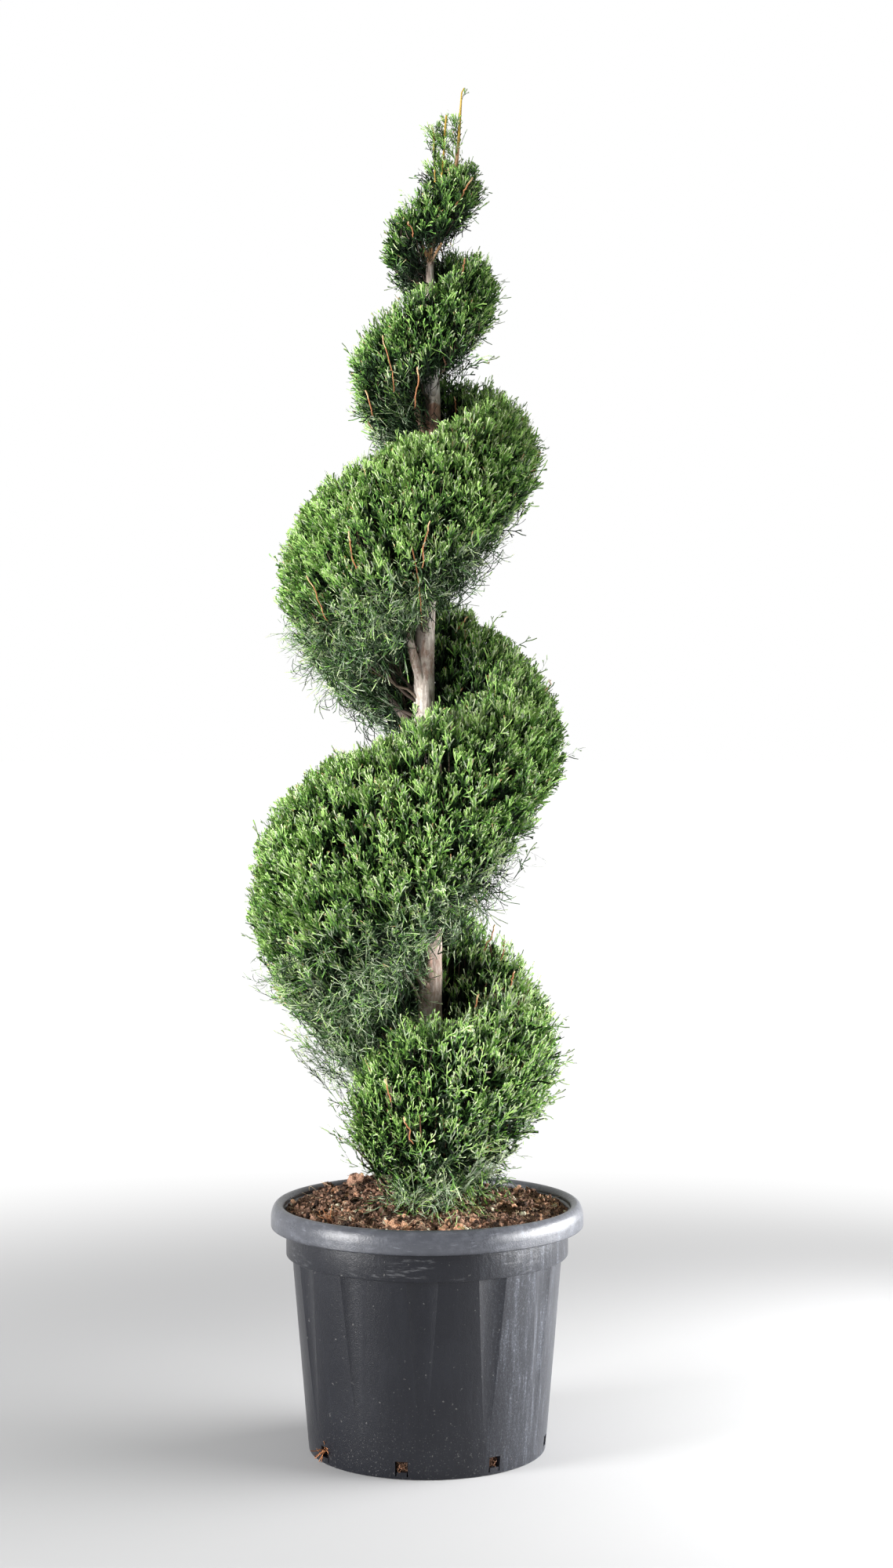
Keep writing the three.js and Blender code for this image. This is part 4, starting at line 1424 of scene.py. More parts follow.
def face_spots(rng, count):
    """Turns and arounds spread evenly over the face, thinned underneath and next to the trunk."""
    many = count * TRIES
    turn = rng.uniform(SPIRAL_START + 0.004, SPIRAL_END - 0.01, many)
    around = rng.uniform(0, FULL, many)
    area = face_frame(turn, around)[1]
    area = np.minimum(area, np.quantile(area, 0.995))
    weight = area * thinning(turn, around) * (1 + DENSER_ABOVE * climbed(turn))
    chosen = rng.choice(many, count, replace=False, p=weight / weight.sum())
    chosen = chosen[np.argsort(turn[chosen])]
    return turn[chosen], around[chosen]


# %% Lean the sprays
def spray_heading(rng, turn, around, points, normal):
    """The direction of each spray, from its root to its tip: fanned, and more upright on top."""
    height, middle, wide, tall = section(turn)
    origin = trunk_middle(height - tall * 1.45) + outwards(turn) * (middle * 0.10)[:, None]
    fan = unit(points - origin)
    under = underneath(around)[:, None]
    lean = 0.90 * fan + 0.14 * (1 - under) * normal + UP * (0.26 - 0.26 * under)
    return unit(lean + rng.normal(0, 0.14, points.shape) * (1 + 0.5 * under))


def place_sprays(kinds, rng, tips, heading, facing, length):
    """The corners of sprays of random kinds that end at these tips."""
    roll = unit(np.cross(heading, facing))
    over = np.cross(heading, roll)
    frames = np.stack([heading, roll, over], axis=2) * length[:, None, None]
    roots = tips - heading * length[:, None]
    picked = rng.integers(0, len(kinds[0]), len(tips))
    places = np.einsum("nij,nbkj->nbki", frames, kinds[0][picked]) + roots[:, None, None, :]
    return places, kinds[1][picked]


def blades_piece(name, places, tones):
    """A piece from the corners of blades, with a green for each blade or for each of its halves."""
    count = places.shape[0] * places.shape[1]
    numbered = BLADE_FACES[None] + (np.arange(count) * len(BLADE))[:, None, None]
    faces = numbered.reshape(-1, 3)
    if tones.shape == places.shape[:2]:
        tones = np.stack([tones, tones], axis=-1)
    return mesh_from_arrays(name, places.reshape(-1, 3), faces, tones.reshape(-1))


def clear_of_trunk(points, spare=0.004):
    """Which points are outside the trunk."""
    middle = trunk_middle(points[:, 2])
    girth = smooth(TRUNK, points[:, 2], 3)
    return np.linalg.norm(points[:, :2] - middle[:, :2], axis=1) > girth + spare


# %% Leave the trunk in sight
WINDOWS = [  # least and greatest x, and least and greatest height, where the trunk shows from the front
    (-0.015, 0.028, 1.122, 1.160),
    (-0.028, 0.028, 1.160, 1.232),
    (-0.010, 0.026, 1.562, 1.618),
    (-0.014, 0.026, 1.762, 1.812),
    (0.003, 0.026, 0.668, 0.770),
    (-0.040, -0.012, 0.684, 0.722),
    (-0.004, 0.014, 0.655, 0.676),
]
WINDOW_SHARE = 0.93  # how many of the sprays in a window are left out
LEFT_SIDE = [  # x and height of the left side of the lobe and of the shade above it, from the front
    (-0.047, 0.371),
    (-0.062, 0.402),
    (-0.114, 0.455),
    (-0.140, 0.500),
    (-0.134, 0.575),
    (-0.146, 0.598),
    (-0.162, 0.628),
    (-0.183, 0.645),
    (-0.206, 0.668),
    (-0.245, 0.690),
]


def as_seen(points):
    """The x and height at which points seem to stand, seen from the camera on the plane of the axis."""
    nearer = CAMERA_PLACE[1] / (CAMERA_PLACE[1] - points[..., 1])
    return points[..., 0] * nearer, CAMERA_PLACE[2] + (points[..., 2] - CAMERA_PLACE[2]) * nearer


def hides_trunk(rng, tips, heading, length):
    """Which sprays stand before the trunk where it should show, with ragged edges."""
    hides = np.zeros(len(tips), bool)
    blur = rng.normal(0, 0.003, (2, len(tips)))
    for share in (0.05, 0.3, 0.55, 0.8):
        points = tips - heading * (length * share)[:, None]
        x, height = as_seen(points)
        for left, right, low, high in WINDOWS:
            inside = (x + blur[0] > left) & (x + blur[0] < right)
            inside &= (height + blur[1] > low) & (height + blur[1] < high)
            hides |= inside & (points[:, 1] < -0.004)
    return hides & (rng.random(len(tips)) < WINDOW_SHARE)


def beyond_side(points, spare=0.0):
    """Which points are further to the left than the left side of the lobe and of the shade above it."""
    x, height = as_seen(points)
    side_x, side_height = zip(*LEFT_SIDE)
    return (x < np.interp(height, side_height, side_x) - spare) & (height < side_height[-1])


print("windows before the trunk:", len(WINDOWS))

# %% Choose the clipped tips
FACE_SPRAYS = 18600
SHALLOW_SHARE = 0.66
rng = np.random.default_rng(77)
turn, around = face_spots(rng, FACE_SPRAYS)
surface = face_point(turn, around)
normal = face_frame(turn, around)[0]
under = underneath(around)
lobe = passed(turn, 0.2, -0.25)
# Two thirds of the tips stand near the surface, and the rest end deeper between them.
shallow = rng.random(FACE_SPRAYS) < SHALLOW_SHARE
sunk = np.where(shallow, rng.normal(0.005, 0.004, FACE_SPRAYS), rng.uniform(0.009, 0.030, FACE_SPRAYS))
sunk += 0.0045 * patches(surface, 12, 0.030)
sunk = np.maximum(sunk, -0.005) - under * rng.uniform(-0.006, 0.012, FACE_SPRAYS)
rightwards = outwards(turn)[:, 0]
sunk += 0.010 * under * rightwards.clip(0) + 0.013 * lobe * (1 - under)
print("tips on the face:", FACE_SPRAYS, "with", shallow.sum(), "of them near its surface")

# %% Let some tips stray, droop or stand up
STRAYS = 300
STRAY_DROOP = 0.035
SAG = 0.050
CRESTS = [  # x and height of the middle of each crest before the trunk, and its half width and half height
    (0.0, 1.072, 0.040, 0.030),
    (0.008, 0.620, 0.055, 0.032),
]
CREST_RISE = 0.038
seen_x, seen_height = as_seen(surface)


def seen_at(x, height, wide, tall, front):
    """Which tips are seen within these half sizes of a place, and lie in front of this y."""
    beside = np.abs(seen_x - x) < wide
    level = np.abs(seen_height - height) < tall
    return beside & level & (surface[:, 1] < front)


low_left = (np.abs(surface[:, 0] + 0.155) < 0.055) & (surface[:, 2] < 0.67) & (under > 0.3)
likely = 1 + 45 * low_left + 3 * under * (rightwards > 0.2) + 2 * lobe
strays = rng.choice(FACE_SPRAYS, STRAYS, replace=False, p=likely / likely.sum())
stray = np.zeros(FACE_SPRAYS, bool)
stray[strays] = True
sunk[stray] = -rng.uniform(0.004, 0.020, STRAYS)
tips = surface - normal * sunk[:, None]
droop = SAG * (1 - lobe) * hanging(around) * climb_value((1, -0.8), turn).clip(0)
droop = droop * (1 + 0.8 * rightwards.clip(-1, 0))
tips[:, 2] -= droop * rng.random(FACE_SPRAYS) + STRAY_DROOP * (stray & low_left) * rng.random(FACE_SPRAYS)
for x, height, wide, tall in CRESTS:
    tips[:, 2] += CREST_RISE * seen_at(x, height, wide, tall, -0.02) * rng.random(FACE_SPRAYS)
print("strays:", STRAYS, "and the largest droop", round(droop.max() / MM), "mm")

# %% [markdown]
# Here and there the shears have cut a stem that is too thick to be green. Its bare orange-brown end stands
# in a small gap of the face. The stems that show most are listed one by one, each as a few points seen from
# the front, and others are scattered round the rest of the plant. Their lines are laid before the sprays
# grow, so that the sprays can keep clear of them.

# %% Lay the lines of the cut stems
CUT_STEMS = [  # x and height of a few points, from the cut end inwards
    ((-0.121, 1.387), (-0.114, 1.349), (-0.103, 1.324)),
    ((-0.030, 1.383), (-0.012, 1.310), (-0.007, 1.242)),
    ((0.002, 1.401), (-0.005, 1.357), (-0.006, 1.327)),
    ((-0.182, 1.313), (-0.158, 1.269), (-0.150, 1.255)),
    ((-0.063, 1.680), (-0.052, 1.625), (-0.054, 1.589)),
    ((-0.094, 1.596), (-0.083, 1.567), (-0.080, 1.555)),
    ((-0.014, 1.629), (-0.016, 1.595), (-0.018, 1.560)),
    ((-0.027, 1.850), (-0.025, 1.838), (-0.022, 1.824)),
    ((0.065, 1.914), (0.056, 1.892), (0.043, 1.867)),
    ((-0.063, 0.557), (-0.058, 0.540), (-0.057, 0.524)),
    ((-0.038, 0.502), (-0.028, 0.480), (-0.020, 0.459)),
]
STEM_POINTS = 12
STEM_PROUD = 0.003
FACE_NEAR = 0.016


def front_of_face(x, height):
    """How far to the front the clipped face comes at a place seen from the front."""
    near = np.hypot(surface[:, 0] - x, surface[:, 2] - height) < FACE_NEAR
    return surface[near, 1].min()


def stem_line(points):
    """A cut stem's line from a few points seen from the front, just behind the clipped face."""
    along = np.linspace(0, len(points) - 1, STEM_POINTS)
    x, height = [np.interp(along, range(len(points)), column) for column in zip(*points)]
    front = [front_of_face(a, b) for a, b in zip(x, height)]
    front = 0.5 * np.mean(front) + 0.5 * np.array(front) + np.linspace(-STEM_PROUD, 0.010, STEM_POINTS)
    nearer = 1 - front / CAMERA_PLACE[1]
    return np.stack([x * nearer, front, CAMERA_PLACE[2] + (height - CAMERA_PLACE[2]) * nearer], axis=1)


stem_lines = [stem_line(points) for points in CUT_STEMS]
print("cut stems that are set by hand:", len(stem_lines))

# %% Scatter more cut stems
LOOSE_STEMS = 26
STEM_WANDER = 0.0011
STEM_SHOWS = 9  # how many of its points show, from the cut end inwards
STEM_CLEARING = 0.022
elsewhere = (surface[:, 1] > -0.02) | (surface[:, 0] > 0.05)  # behind the axis, or to its right
some = rng.choice(np.flatnonzero((under < 0.3) & elsewhere), LOOSE_STEMS)
inwards = -unit(spray_heading(rng, turn[some], around[some], surface[some], normal[some]))
stem_starts = surface[some] + STEM_PROUD * normal[some]
for start, back, length in zip(stem_starts, inwards, rng.uniform(0.02, 0.05, LOOSE_STEMS)):
    stem_lines.append(start + back * (length * np.linspace(0, 1, STEM_POINTS))[:, None])
stem_lines = np.array(stem_lines)
wander = np.cumsum(rng.normal(0, STEM_WANDER, stem_lines.shape), axis=1)
stem_lines += wander - wander.mean(axis=1, keepdims=True)
print("cut stems:", len(stem_lines))


def beside_stems(points, spare):
    """Which points stand before or beside the outer part of a cut stem, nearer than a spare distance."""
    near = np.zeros(len(points), bool)
    for line in stem_lines:
        for place in line[:STEM_SHOWS:2]:
            gap = points - place
            near |= (np.hypot(gap[:, 0], gap[:, 2]) < spare) & (np.abs(gap[:, 1]) < STEM_CLEARING)
    return near


# %% Say how long, lively and blue each spray is, with painted light and shade
SPRAY_LENGTH = (0.042, 0.037)  # at the foot of the spiral and at its top
VIGOUR = 0.56
# Painted shade: how much duller a tip gets for each metre that it is sunk in.
DEPTH_SHADE_PER_METRE = 24  # to each metre that a tip is sunk in
heading = spray_heading(rng, turn, around, surface, normal)
length = climb_value(SPRAY_LENGTH, turn) * rng.uniform(0.8, 1.2, FACE_SPRAYS) * (1 + 0.25 * under)
facing = rng.normal(0, 1, tips.shape) + normal * (0.5 + 1.2 * lobe)[:, None]
inner = np.clip(-np.cos(around), 0, 1)
high = passed(turn, 1.7, 0.8)
low = (1 - lobe) * passed(turn, 1.6, -1)
# A tip that is sunk in or next to the trunk is duller, as painted shade, and one on top or on the lowest
# lobe is livelier, on top partly as painted light.
vigour_and_light = VIGOUR - 0.06 * under - DEPTH_SHADE_PER_METRE * np.maximum(sunk - 0.004, 0) + 0.10 * patches(surface, 3)
vigour_and_light += rng.normal(0, 0.13, FACE_SPRAYS) * (1 + 0.5 * lobe)
vigour_and_light += 0.12 * np.clip(np.sin(around), 0, 1) - 0.30 * inner + 0.21 * lobe + 0.15 * under
# Above that lobe, the right side and the highest coils are a little duller, as painted shade.
shade_right = (0.16 - 0.11 * passed(turn, 0.8, 1)) * rightwards.clip(0)
vigour_and_light -= (0.04 + shade_right + 0.24 * high) * (1 - lobe)
# Blue growth hangs underneath and next to the trunk, and on the right of the lowest lobe. Next to the trunk
# its blue is partly painted shade, and the little more of it on the lower coils is a painted grey-blue
# sheen.
blue = 0.08 + 0.60 * under + 0.06 * low + 0.20 * lobe * (rightwards > 0) + 0.3 * inner
blue = np.clip(blue, 0, 0.9)
print("vigour from", round(vigour_and_light.min(), 2), "to", round(vigour_and_light.max(), 2))

# %% Grow the clipped sprays
STRAND_LONGER = 1.5
FROND_LONGER = 1.35
luck = rng.random(FACE_SPRAYS)
strand = (luck < 0.9 * under) & ~stray
frond = ((luck > 0.90 - 0.65 * lobe - 0.35 * high) | stray) & ~strand
length = np.where(strand, length * STRAND_LONGER, np.where(frond, length * FROND_LONGER, length))
spray_places, spray_ends = place_sprays(BRUSHES, rng, tips, heading, facing, length)
thin = stray & low_left
for kind, chosen in ((FRONDS, frond & ~thin), (WISPS, thin), (STRANDS, strand)):
    parts = (tips[chosen], heading[chosen], facing[chosen], length[chosen])
    spray_places[chosen], spray_ends[chosen] = place_sprays(kind, rng, *parts)
print("strands:", strand.sum(), "fronds:", (frond & ~thin).sum(), "wisps:", thin.sum())

# %% Hang more strands from the ends of those underneath
HUNG = 1100
HUNG_BLUE = 0.55
over_trunk = seen_at(-0.020, 0.79, 0.055, 0.07, 0)
likely = strand * (surface[:, 1] < 0.05) * (turn < 1.9) * (1 - rightwards).clip(0) * (1 + 9 * over_trunk)
hung = rng.choice(FACE_SPRAYS, HUNG, replace=False, p=likely / likely.sum())
hung_length = length[hung] * rng.uniform(0.7, 1.1, HUNG)
hung_heading = unit(0.5 * heading[hung] - 0.5 * UP + rng.normal(0, 0.33, (HUNG, 3)))
hung_tips = tips[hung] - 0.3 * heading[hung] * length[hung, None] + hung_heading * hung_length[:, None]
hung_facing = rng.normal(0, 1, hung_tips.shape)
hung_places, hung_ends = place_sprays(STRANDS, rng, hung_tips, hung_heading, hung_facing, hung_length)
print("hung strands:", HUNG)

# %% Let a few strands cross the trunk, and join the three sets
ACROSS = 120
ACROSS_LOW = (-0.056, -0.066, 0.670)
ACROSS_HIGH = (-0.022, -0.036, 0.810)
ACROSS_AIM = (0.75, -0.05, -0.35)
ACROSS_TURN = 0.75
roots = rng.uniform(ACROSS_LOW, ACROSS_HIGH, (ACROSS, 3))
across_heading = unit(np.array(ACROSS_AIM) + rng.normal(0, 0.25, roots.shape))
across_length = rng.uniform(0.042, 0.064, ACROSS)
across_tips = roots + across_heading * across_length[:, None]
across_facing = rng.normal(0, 1, roots.shape)
across_parts = (across_tips, across_heading, across_facing, across_length)
across_places, across_ends = place_sprays(STRANDS, rng, *across_parts)
spray_places = np.concatenate([spray_places, hung_places, across_places])
spray_ends = np.concatenate([spray_ends, hung_ends, across_ends])
tips = np.concatenate([tips, hung_tips, across_tips])
heading = np.concatenate([heading, hung_heading, across_heading])
length = np.concatenate([length, hung_length, across_length])
turn = np.concatenate([turn, turn[hung], np.full(ACROSS, ACROSS_TURN)])
stray = np.concatenate([stray, stray[hung], np.zeros(ACROSS, bool)])
vigour_and_light = np.concatenate([vigour_and_light, vigour_and_light[hung] - 0.02, rng.normal(0.36, 0.12, ACROSS)])
blue = np.concatenate([blue, np.full(HUNG + ACROSS, HUNG_BLUE)])
print("strands across the trunk:", ACROSS, "and sprays in all:", len(tips))

# %% Colour the sprays and take out those in the way
PROUD = 0.009  # how far a spray may reach beyond the frame's box
STRAYS_FROM = 0.46  # below this height even a stray stays inside the lobe's left side
STRAY_SPARE = 0.046
tones = blade_tones(rng, spray_ends, vigour_and_light, blue)
kept = clear_of_trunk(tips) & clear_of_trunk(tips - heading * length[:, None] * 0.6)
kept &= ~hides_trunk(rng, tips, heading, length) & ~(beyond_side(tips) & (tips[:, 2] < STRAYS_FROM))
kept &= ~beyond_side(tips, np.abs(rng.normal(0, 0.004, len(tips))) + STRAY_SPARE * stray)
kept &= ~beside_stems(tips, 0.004) & ~beside_stems(tips - heading * length[:, None] * 0.4, 0.0025)
blade_corners = spray_places.reshape(len(tips), -1, 3)
in_reach = blade_corners > np.array(CAD_BOX[0]) - PROUD
in_reach &= blade_corners < np.array(CAD_BOX[1]) + PROUD
kept = np.flatnonzero(kept & in_reach.all(axis=(1, 2)))
kept = kept[np.argsort(turn[kept], kind="stable")]
spray_places, tones, turn = spray_places[kept], tones[kept], turn[kept]
print("clipped sprays:", len(turn))

# %% Join them coil by coil
PIECE_SPRAYS = 4300  # so that a piece stays under 200,000 triangles
pieces = math.ceil(len(turn) / PIECE_SPRAYS)
edges = np.linspace(0, len(turn), pieces + 1).astype(int)
mass_middles = SPIRAL_START + MASS_TURNS * (np.arange(MASSES) + 0.5)
mass_piece = np.clip(np.searchsorted(turn[edges[1:-1]], mass_middles), 0, pieces - 1)
for index in range(pieces):
    part = slice(edges[index], edges[index + 1])
    coil = blades_piece(f"sprays_{index + 1}", spray_places[part], tones[part])
    nodes = [f"foliage_{mass + 1:02d}" for mass in range(MASSES) if mass_piece[mass] == index]
    settle(coil, greens, nodes)

# %% [markdown]
# ## Inside the rope
# Behind the clipped face the branches carry older, darker sprays, and the twigs that they grow on. They
# stop the eye from seeing through the crown, and their near-black painted shade gives the gaps between the
# tips their depth.

# %% Grow the inner sprays
INNER_SPRAYS = 7600
INNER_FROM = 0.030  # how deep the inner sprays start
INNER_LENGTH = (0.074, 0.042)
DEPTH_SHADE_SHARE = 0.62
rng = np.random.default_rng(91)
turn, around = face_spots(rng, INNER_SPRAYS)
thick = np.minimum(*section(turn)[2:])
deeper = rng.uniform(0, 0.85, INNER_SPRAYS) * np.maximum(thick - INNER_FROM, 0)
depth = np.minimum(INNER_FROM, 0.75 * thick) + deeper
tips = face_point(turn, around, depth)
normal = face_frame(turn, around)[0]
heading = spray_heading(rng, turn, around, tips, normal)
facing = rng.normal(0, 1, tips.shape)
length = climb_value(INNER_LENGTH, turn) * rng.uniform(0.7, 1.2, INNER_SPRAYS)
length = np.minimum(length, 0.018 + 0.55 * thick)
places, ends = place_sprays(OLD_SPRAYS, rng, tips, heading, facing, length)
# Most inner sprays get the near-black painted shade of the depth, the rest the deep green.
dark = np.where(rng.random(ends.shape) < DEPTH_SHADE_SHARE, DEPTH_SHADE, DEEP)
kept = clear_of_trunk(tips, 0.008) & (tips[:, 2] > 0.40) & ~hides_trunk(rng, tips, heading, length)
kept &= ~beyond_side(tips, -0.020)
inner_sprays = blades_piece("inner_sprays", places[kept], dark[kept])
settle(inner_sprays, greens)

# %% Join many thin tubes as one mesh
def tubes_piece(name, lines, radii, sides, tones):
    """Many thin tubes as one piece: lines is tube by station by place, radii is tube by station."""
    along = unit(np.gradient(lines, axis=1))
    across = unit(np.cross(along, np.array((0.31, 0.87, 0.38))))
    beside = np.cross(along, across)
    angle = np.arange(sides) / sides * FULL
    spread = across[:, :, None] * np.cos(angle)[:, None] + beside[:, :, None] * np.sin(angle)[:, None]
    places = lines[:, :, None] + spread * radii[:, :, None, None]
    tubes, stations = radii.shape
    one, side = np.meshgrid(np.arange(stations - 1), np.arange(sides), indexing="ij")
    following = (side + 1) % sides
    here = one * sides
    there = here + sides
    quads = np.stack([here + side, here + following, there + following, there + side], axis=-1)
    quads = quads.reshape(-1, 4)
    faces = (quads[None] + (np.arange(tubes) * stations * sides)[:, None, None]).reshape(-1, 4)
    return mesh_from_arrays(name, places.reshape(-1, 3), faces, np.repeat(tones, len(quads)), True)


def bent(starts, ends, bulge, stations):
    """Lines from starts to ends that bend away by a bulge at their middles."""
    t = np.linspace(0, 1, stations)[None, :, None]
    return starts[:, None] * (1 - t) + ends[:, None] * t + bulge[:, None] * (4 * t * (1 - t))


# %% Colours of the twigs
TWIG_BROWNS = [
    ("twig_grey_brown", (0.190, 0.145, 0.110)),
    ("twig_red_brown", (0.170, 0.085, 0.050)),
    ("twig_orange", (0.420, 0.180, 0.080)),
    ("twig_green", (0.130, 0.160, 0.070)),
    ("twig_dark", (0.060, 0.042, 0.032)),
    ("twig_cut_end", (0.620, 0.420, 0.230)),
    ("twig_straw", (0.560, 0.430, 0.280)),
]
GREY_BROWN, RED_BROWN, ORANGE, GREEN_TWIG, DARK_TWIG, CUT_END, STRAW = range(7)
browns = [Finish(name, colour, 0.7, 0.3) for name, colour in TWIG_BROWNS]
print("colours of the twigs:", len(browns))

# %% Model the cut stems
STEM_SIDES = 8
PALE_RINGS = 2  # rings of faces at the cut end that are pale
rng = np.random.default_rng(123)
taper = np.linspace(1.10, 0.85, STEM_POINTS)[None] * MM
stem_radii = taper * rng.uniform(0.8, 1.15, len(stem_lines))[:, None]
cut_stems = tubes_piece("cut_stems", stem_lines, stem_radii, STEM_SIDES, np.full(len(stem_lines), ORANGE))
stem_faces = cut_stems.data.polygons
for index in range(len(stem_lines)):
    first = index * STEM_SIDES * (STEM_POINTS - 1)
    for step in range(PALE_RINGS * STEM_SIDES):
        stem_faces[first + step].material_index = CUT_END
settle(cut_stems, browns)

# %% Grow the limbs
LIMBS = 90
LIMB_SIDES = 7
limb_turns = np.linspace(SPIRAL_START + 0.05, SPIRAL_END - 0.1, LIMBS) + rng.normal(0, 0.01, LIMBS)
limb_shares = np.linspace(0, 1, 9)
limb_lines, limb_radii = [], []
for limb_turn in limb_turns:
    spread, drop, rise = rng.uniform(0.6, 1.25), rng.uniform(0.0, 0.35), rng.uniform(0.5, 1.5)
    line, girth = bough_line(limb_turn, limb_shares, reach=spread, drop=drop, rise=rise)
    limb_lines.append(line + rng.normal(0, 0.0016, line.shape))
    limb_radii.append(girth * rng.uniform(0.08, 0.17) * (1 - 0.75 * limb_shares) + 0.0008)
limb_lines, limb_radii = np.array(limb_lines), np.array(limb_radii)
limb_tones = rng.choice([GREY_BROWN, DARK_TWIG, DARK_TWIG, DARK_TWIG], LIMBS)
limbs = tubes_piece("limbs", limb_lines, limb_radii, LIMB_SIDES, limb_tones)
settle(limbs, browns)

# %% Grow the twigs
TWIGS = 2000
TWIG_SIDES = 3
TWIG_POINTS = 6
TWIG_RADIUS = (0.0017, 0.0012)
turn, around = face_spots(rng, TWIGS)
near = np.argmin(np.abs(turn[:, None] - limb_turns[None]), axis=1)
station = rng.integers(3, len(limb_shares), TWIGS)
starts = limb_lines[near, station]
ends = face_point(turn, around, 0.018 + 0.02 * rng.random(TWIGS))
bulge = rng.normal(0, 0.008, starts.shape) - UP * 0.006
lines = bent(starts, ends, bulge, TWIG_POINTS)
tapered = climb_value(TWIG_RADIUS, turn)[:, None] * np.linspace(1.1, 0.5, TWIG_POINTS)[None]
radii = tapered * rng.uniform(0.7, 1.3, TWIGS)[:, None]
twig_tones = rng.choice([GREY_BROWN, GREY_BROWN, RED_BROWN, GREEN_TWIG, DARK_TWIG, DARK_TWIG], TWIGS)
twigs = tubes_piece("twigs", lines, radii, TWIG_SIDES, twig_tones)
settle(twigs, browns)

# %% [markdown]
# ## The foot and the top
# Under the lowest lobe a skirt of fronds hangs round the stem down to the soil, and a few lie on it, among
# fibres and small bundles of straw. At the top the leader and two side stems, golden brown where they have
# not turned woody, stand out of a loose tuft that the shears have left alone.

# %% Grow the skirt
SKIRT_FRONDS = 240
SKIRT_MIDDLE = (0.020, -0.005)
rng = np.random.default_rng(17)
angle = rng.uniform(0, FULL, SKIRT_FRONDS)
out = 0.018 + 0.080 * np.sqrt(rng.random(SKIRT_FRONDS)) * (1 + 0.25 * np.cos(angle))
hang = rng.uniform(0.366, 0.440, SKIRT_FRONDS) + 0.25 * np.maximum(out - 0.06, 0)
tips = np.stack([out * np.cos(angle) + SKIRT_MIDDLE[0], out * np.sin(angle) + SKIRT_MIDDLE[1], hang], axis=1)
away = unit(np.stack([np.cos(angle), np.sin(angle), 0 * angle], axis=1))
sinking = UP * rng.uniform(-0.75, 0.1, SKIRT_FRONDS)[:, None]
heading = unit(away * 0.8 + sinking + rng.normal(0, 0.25, tips.shape))
length = rng.uniform(0.045, 0.080, SKIRT_FRONDS)
kept = ~beyond_side(tips)
facing = rng.normal(0, 1, tips.shape)
skirt_places, skirt_ends = place_sprays(FRONDS, rng, tips, heading, facing, length)
vigour_and_light = rng.normal(0.33, 0.20, SKIRT_FRONDS)
skirt_tones = blade_tones(rng, skirt_ends, vigour_and_light, np.full(SKIRT_FRONDS, 0.30))
print("fronds of the skirt:", kept.sum())

# %% Lay fronds on the soil, and join them with the skirt
LITTER_RAISED = 0.004
LITTER = [  # x, y, heading in degrees and length of each spray on the soil, and how far it has greyed
    (0.040, -0.194, 255, 0.034, 0.0),
    (0.030, -0.180, 300, 0.022, 0.0),
    (0.088, -0.080, 325, 0.062, 0.2),
    (0.072, -0.108, 290, 0.058, 0.2),
    (0.104, -0.052, 350, 0.052, 0.4),
    (0.096, -0.100, 310, 0.040, 0.3),
    (-0.090, -0.020, 165, 0.075, 1.0),
    (-0.105, 0.012, 195, 0.065, 1.0),
    (-0.078, 0.034, 150, 0.062, 1.0),
    (-0.112, -0.045, 215, 0.055, 0.9),
    (-0.070, -0.060, 235, 0.050, 0.8),
]
x, y, degrees, length, grey = np.array(LITTER).T
tips = np.stack([x, y, [soil_height(a, b) + LITTER_RAISED for a, b in zip(x, y)]], axis=1)
towards = np.radians(degrees)
heading = unit(np.stack([np.cos(towards), np.sin(towards), 0 * x - 0.15], axis=1))
litter_places, litter_ends = place_sprays(FRONDS, rng, tips, heading, np.tile(UP, (len(x), 1)), length)
litter_tones = blade_tones(rng, litter_ends, 0.66 - 0.1 * grey, grey)
places = np.concatenate([skirt_places[kept], litter_places])
skirt = blades_piece("skirt_fronds", places, np.concatenate([skirt_tones[kept], litter_tones]))
settle(skirt, greens)

# %% Strew fibres and straw
FIBRES = 420
FIBRE_POINTS = 5
FIBRE_SIDES = 4
BUNDLES = [  # foot, direction, spread, count and length of the stalks of each bundle, and their brown
    ((-0.142, -0.108, 0.366), (-0.4, 0.1, 0.5), 0.5, 12, 0.022, ORANGE),
    ((-0.150, -0.096, 0.022), (-0.6, -0.6, -0.2), 0.6, 11, 0.019, ORANGE),
    ((-0.037, -0.173, 0.018), (0.1, -0.6, -0.4), 0.7, 9, 0.007, RED_BROWN),
    ((0.095, -0.148, 0.018), (0.1, -0.6, -0.4), 0.7, 9, 0.007, RED_BROWN),
]


def bundle(rng, foot, aim, spread, count, length):
    """The lines of thin stalks that spread from one place."""
    starts = np.array(foot) + rng.normal(0, 0.003, (count, 3))
    heading = unit(np.array(aim) + rng.normal(0, spread, (count, 3)))
    ends = starts + heading * (length * rng.uniform(0.5, 1.1, (count, 1)))
    return bent(starts, ends, rng.normal(0, 0.0015, (count, 3)), FIBRE_POINTS)


rng = np.random.default_rng(61)
starts = soil_spots(rng, FIBRES, 0.012) + UP * 0.002
angle = rng.uniform(0, FULL, FIBRES)
run = np.stack([np.cos(angle), np.sin(angle), rng.uniform(-0.1, 0.35, FIBRES)], axis=1)
run *= rng.uniform(0.006, 0.030, FIBRES)[:, None]
lines = [bent(starts, starts + run, rng.normal(0, 0.003, run.shape), FIBRE_POINTS)]
thicknesses = [rng.uniform(0.2, 0.45, FIBRES)]
tones = [rng.choice([STRAW, STRAW, RED_BROWN, DARK_TWIG], FIBRES)]
for *where, count, length, brown in BUNDLES:
    lines.append(bundle(rng, *where, count, length))
    thicknesses.append(rng.uniform(0.4, 0.8, count))
    tones.append(np.full(count, brown))
radii = np.concatenate(thicknesses)[:, None] * MM * np.ones((1, FIBRE_POINTS))
fibres = tubes_piece("fibres", np.concatenate(lines), radii, FIBRE_SIDES, np.concatenate(tones))
settle(fibres, browns)

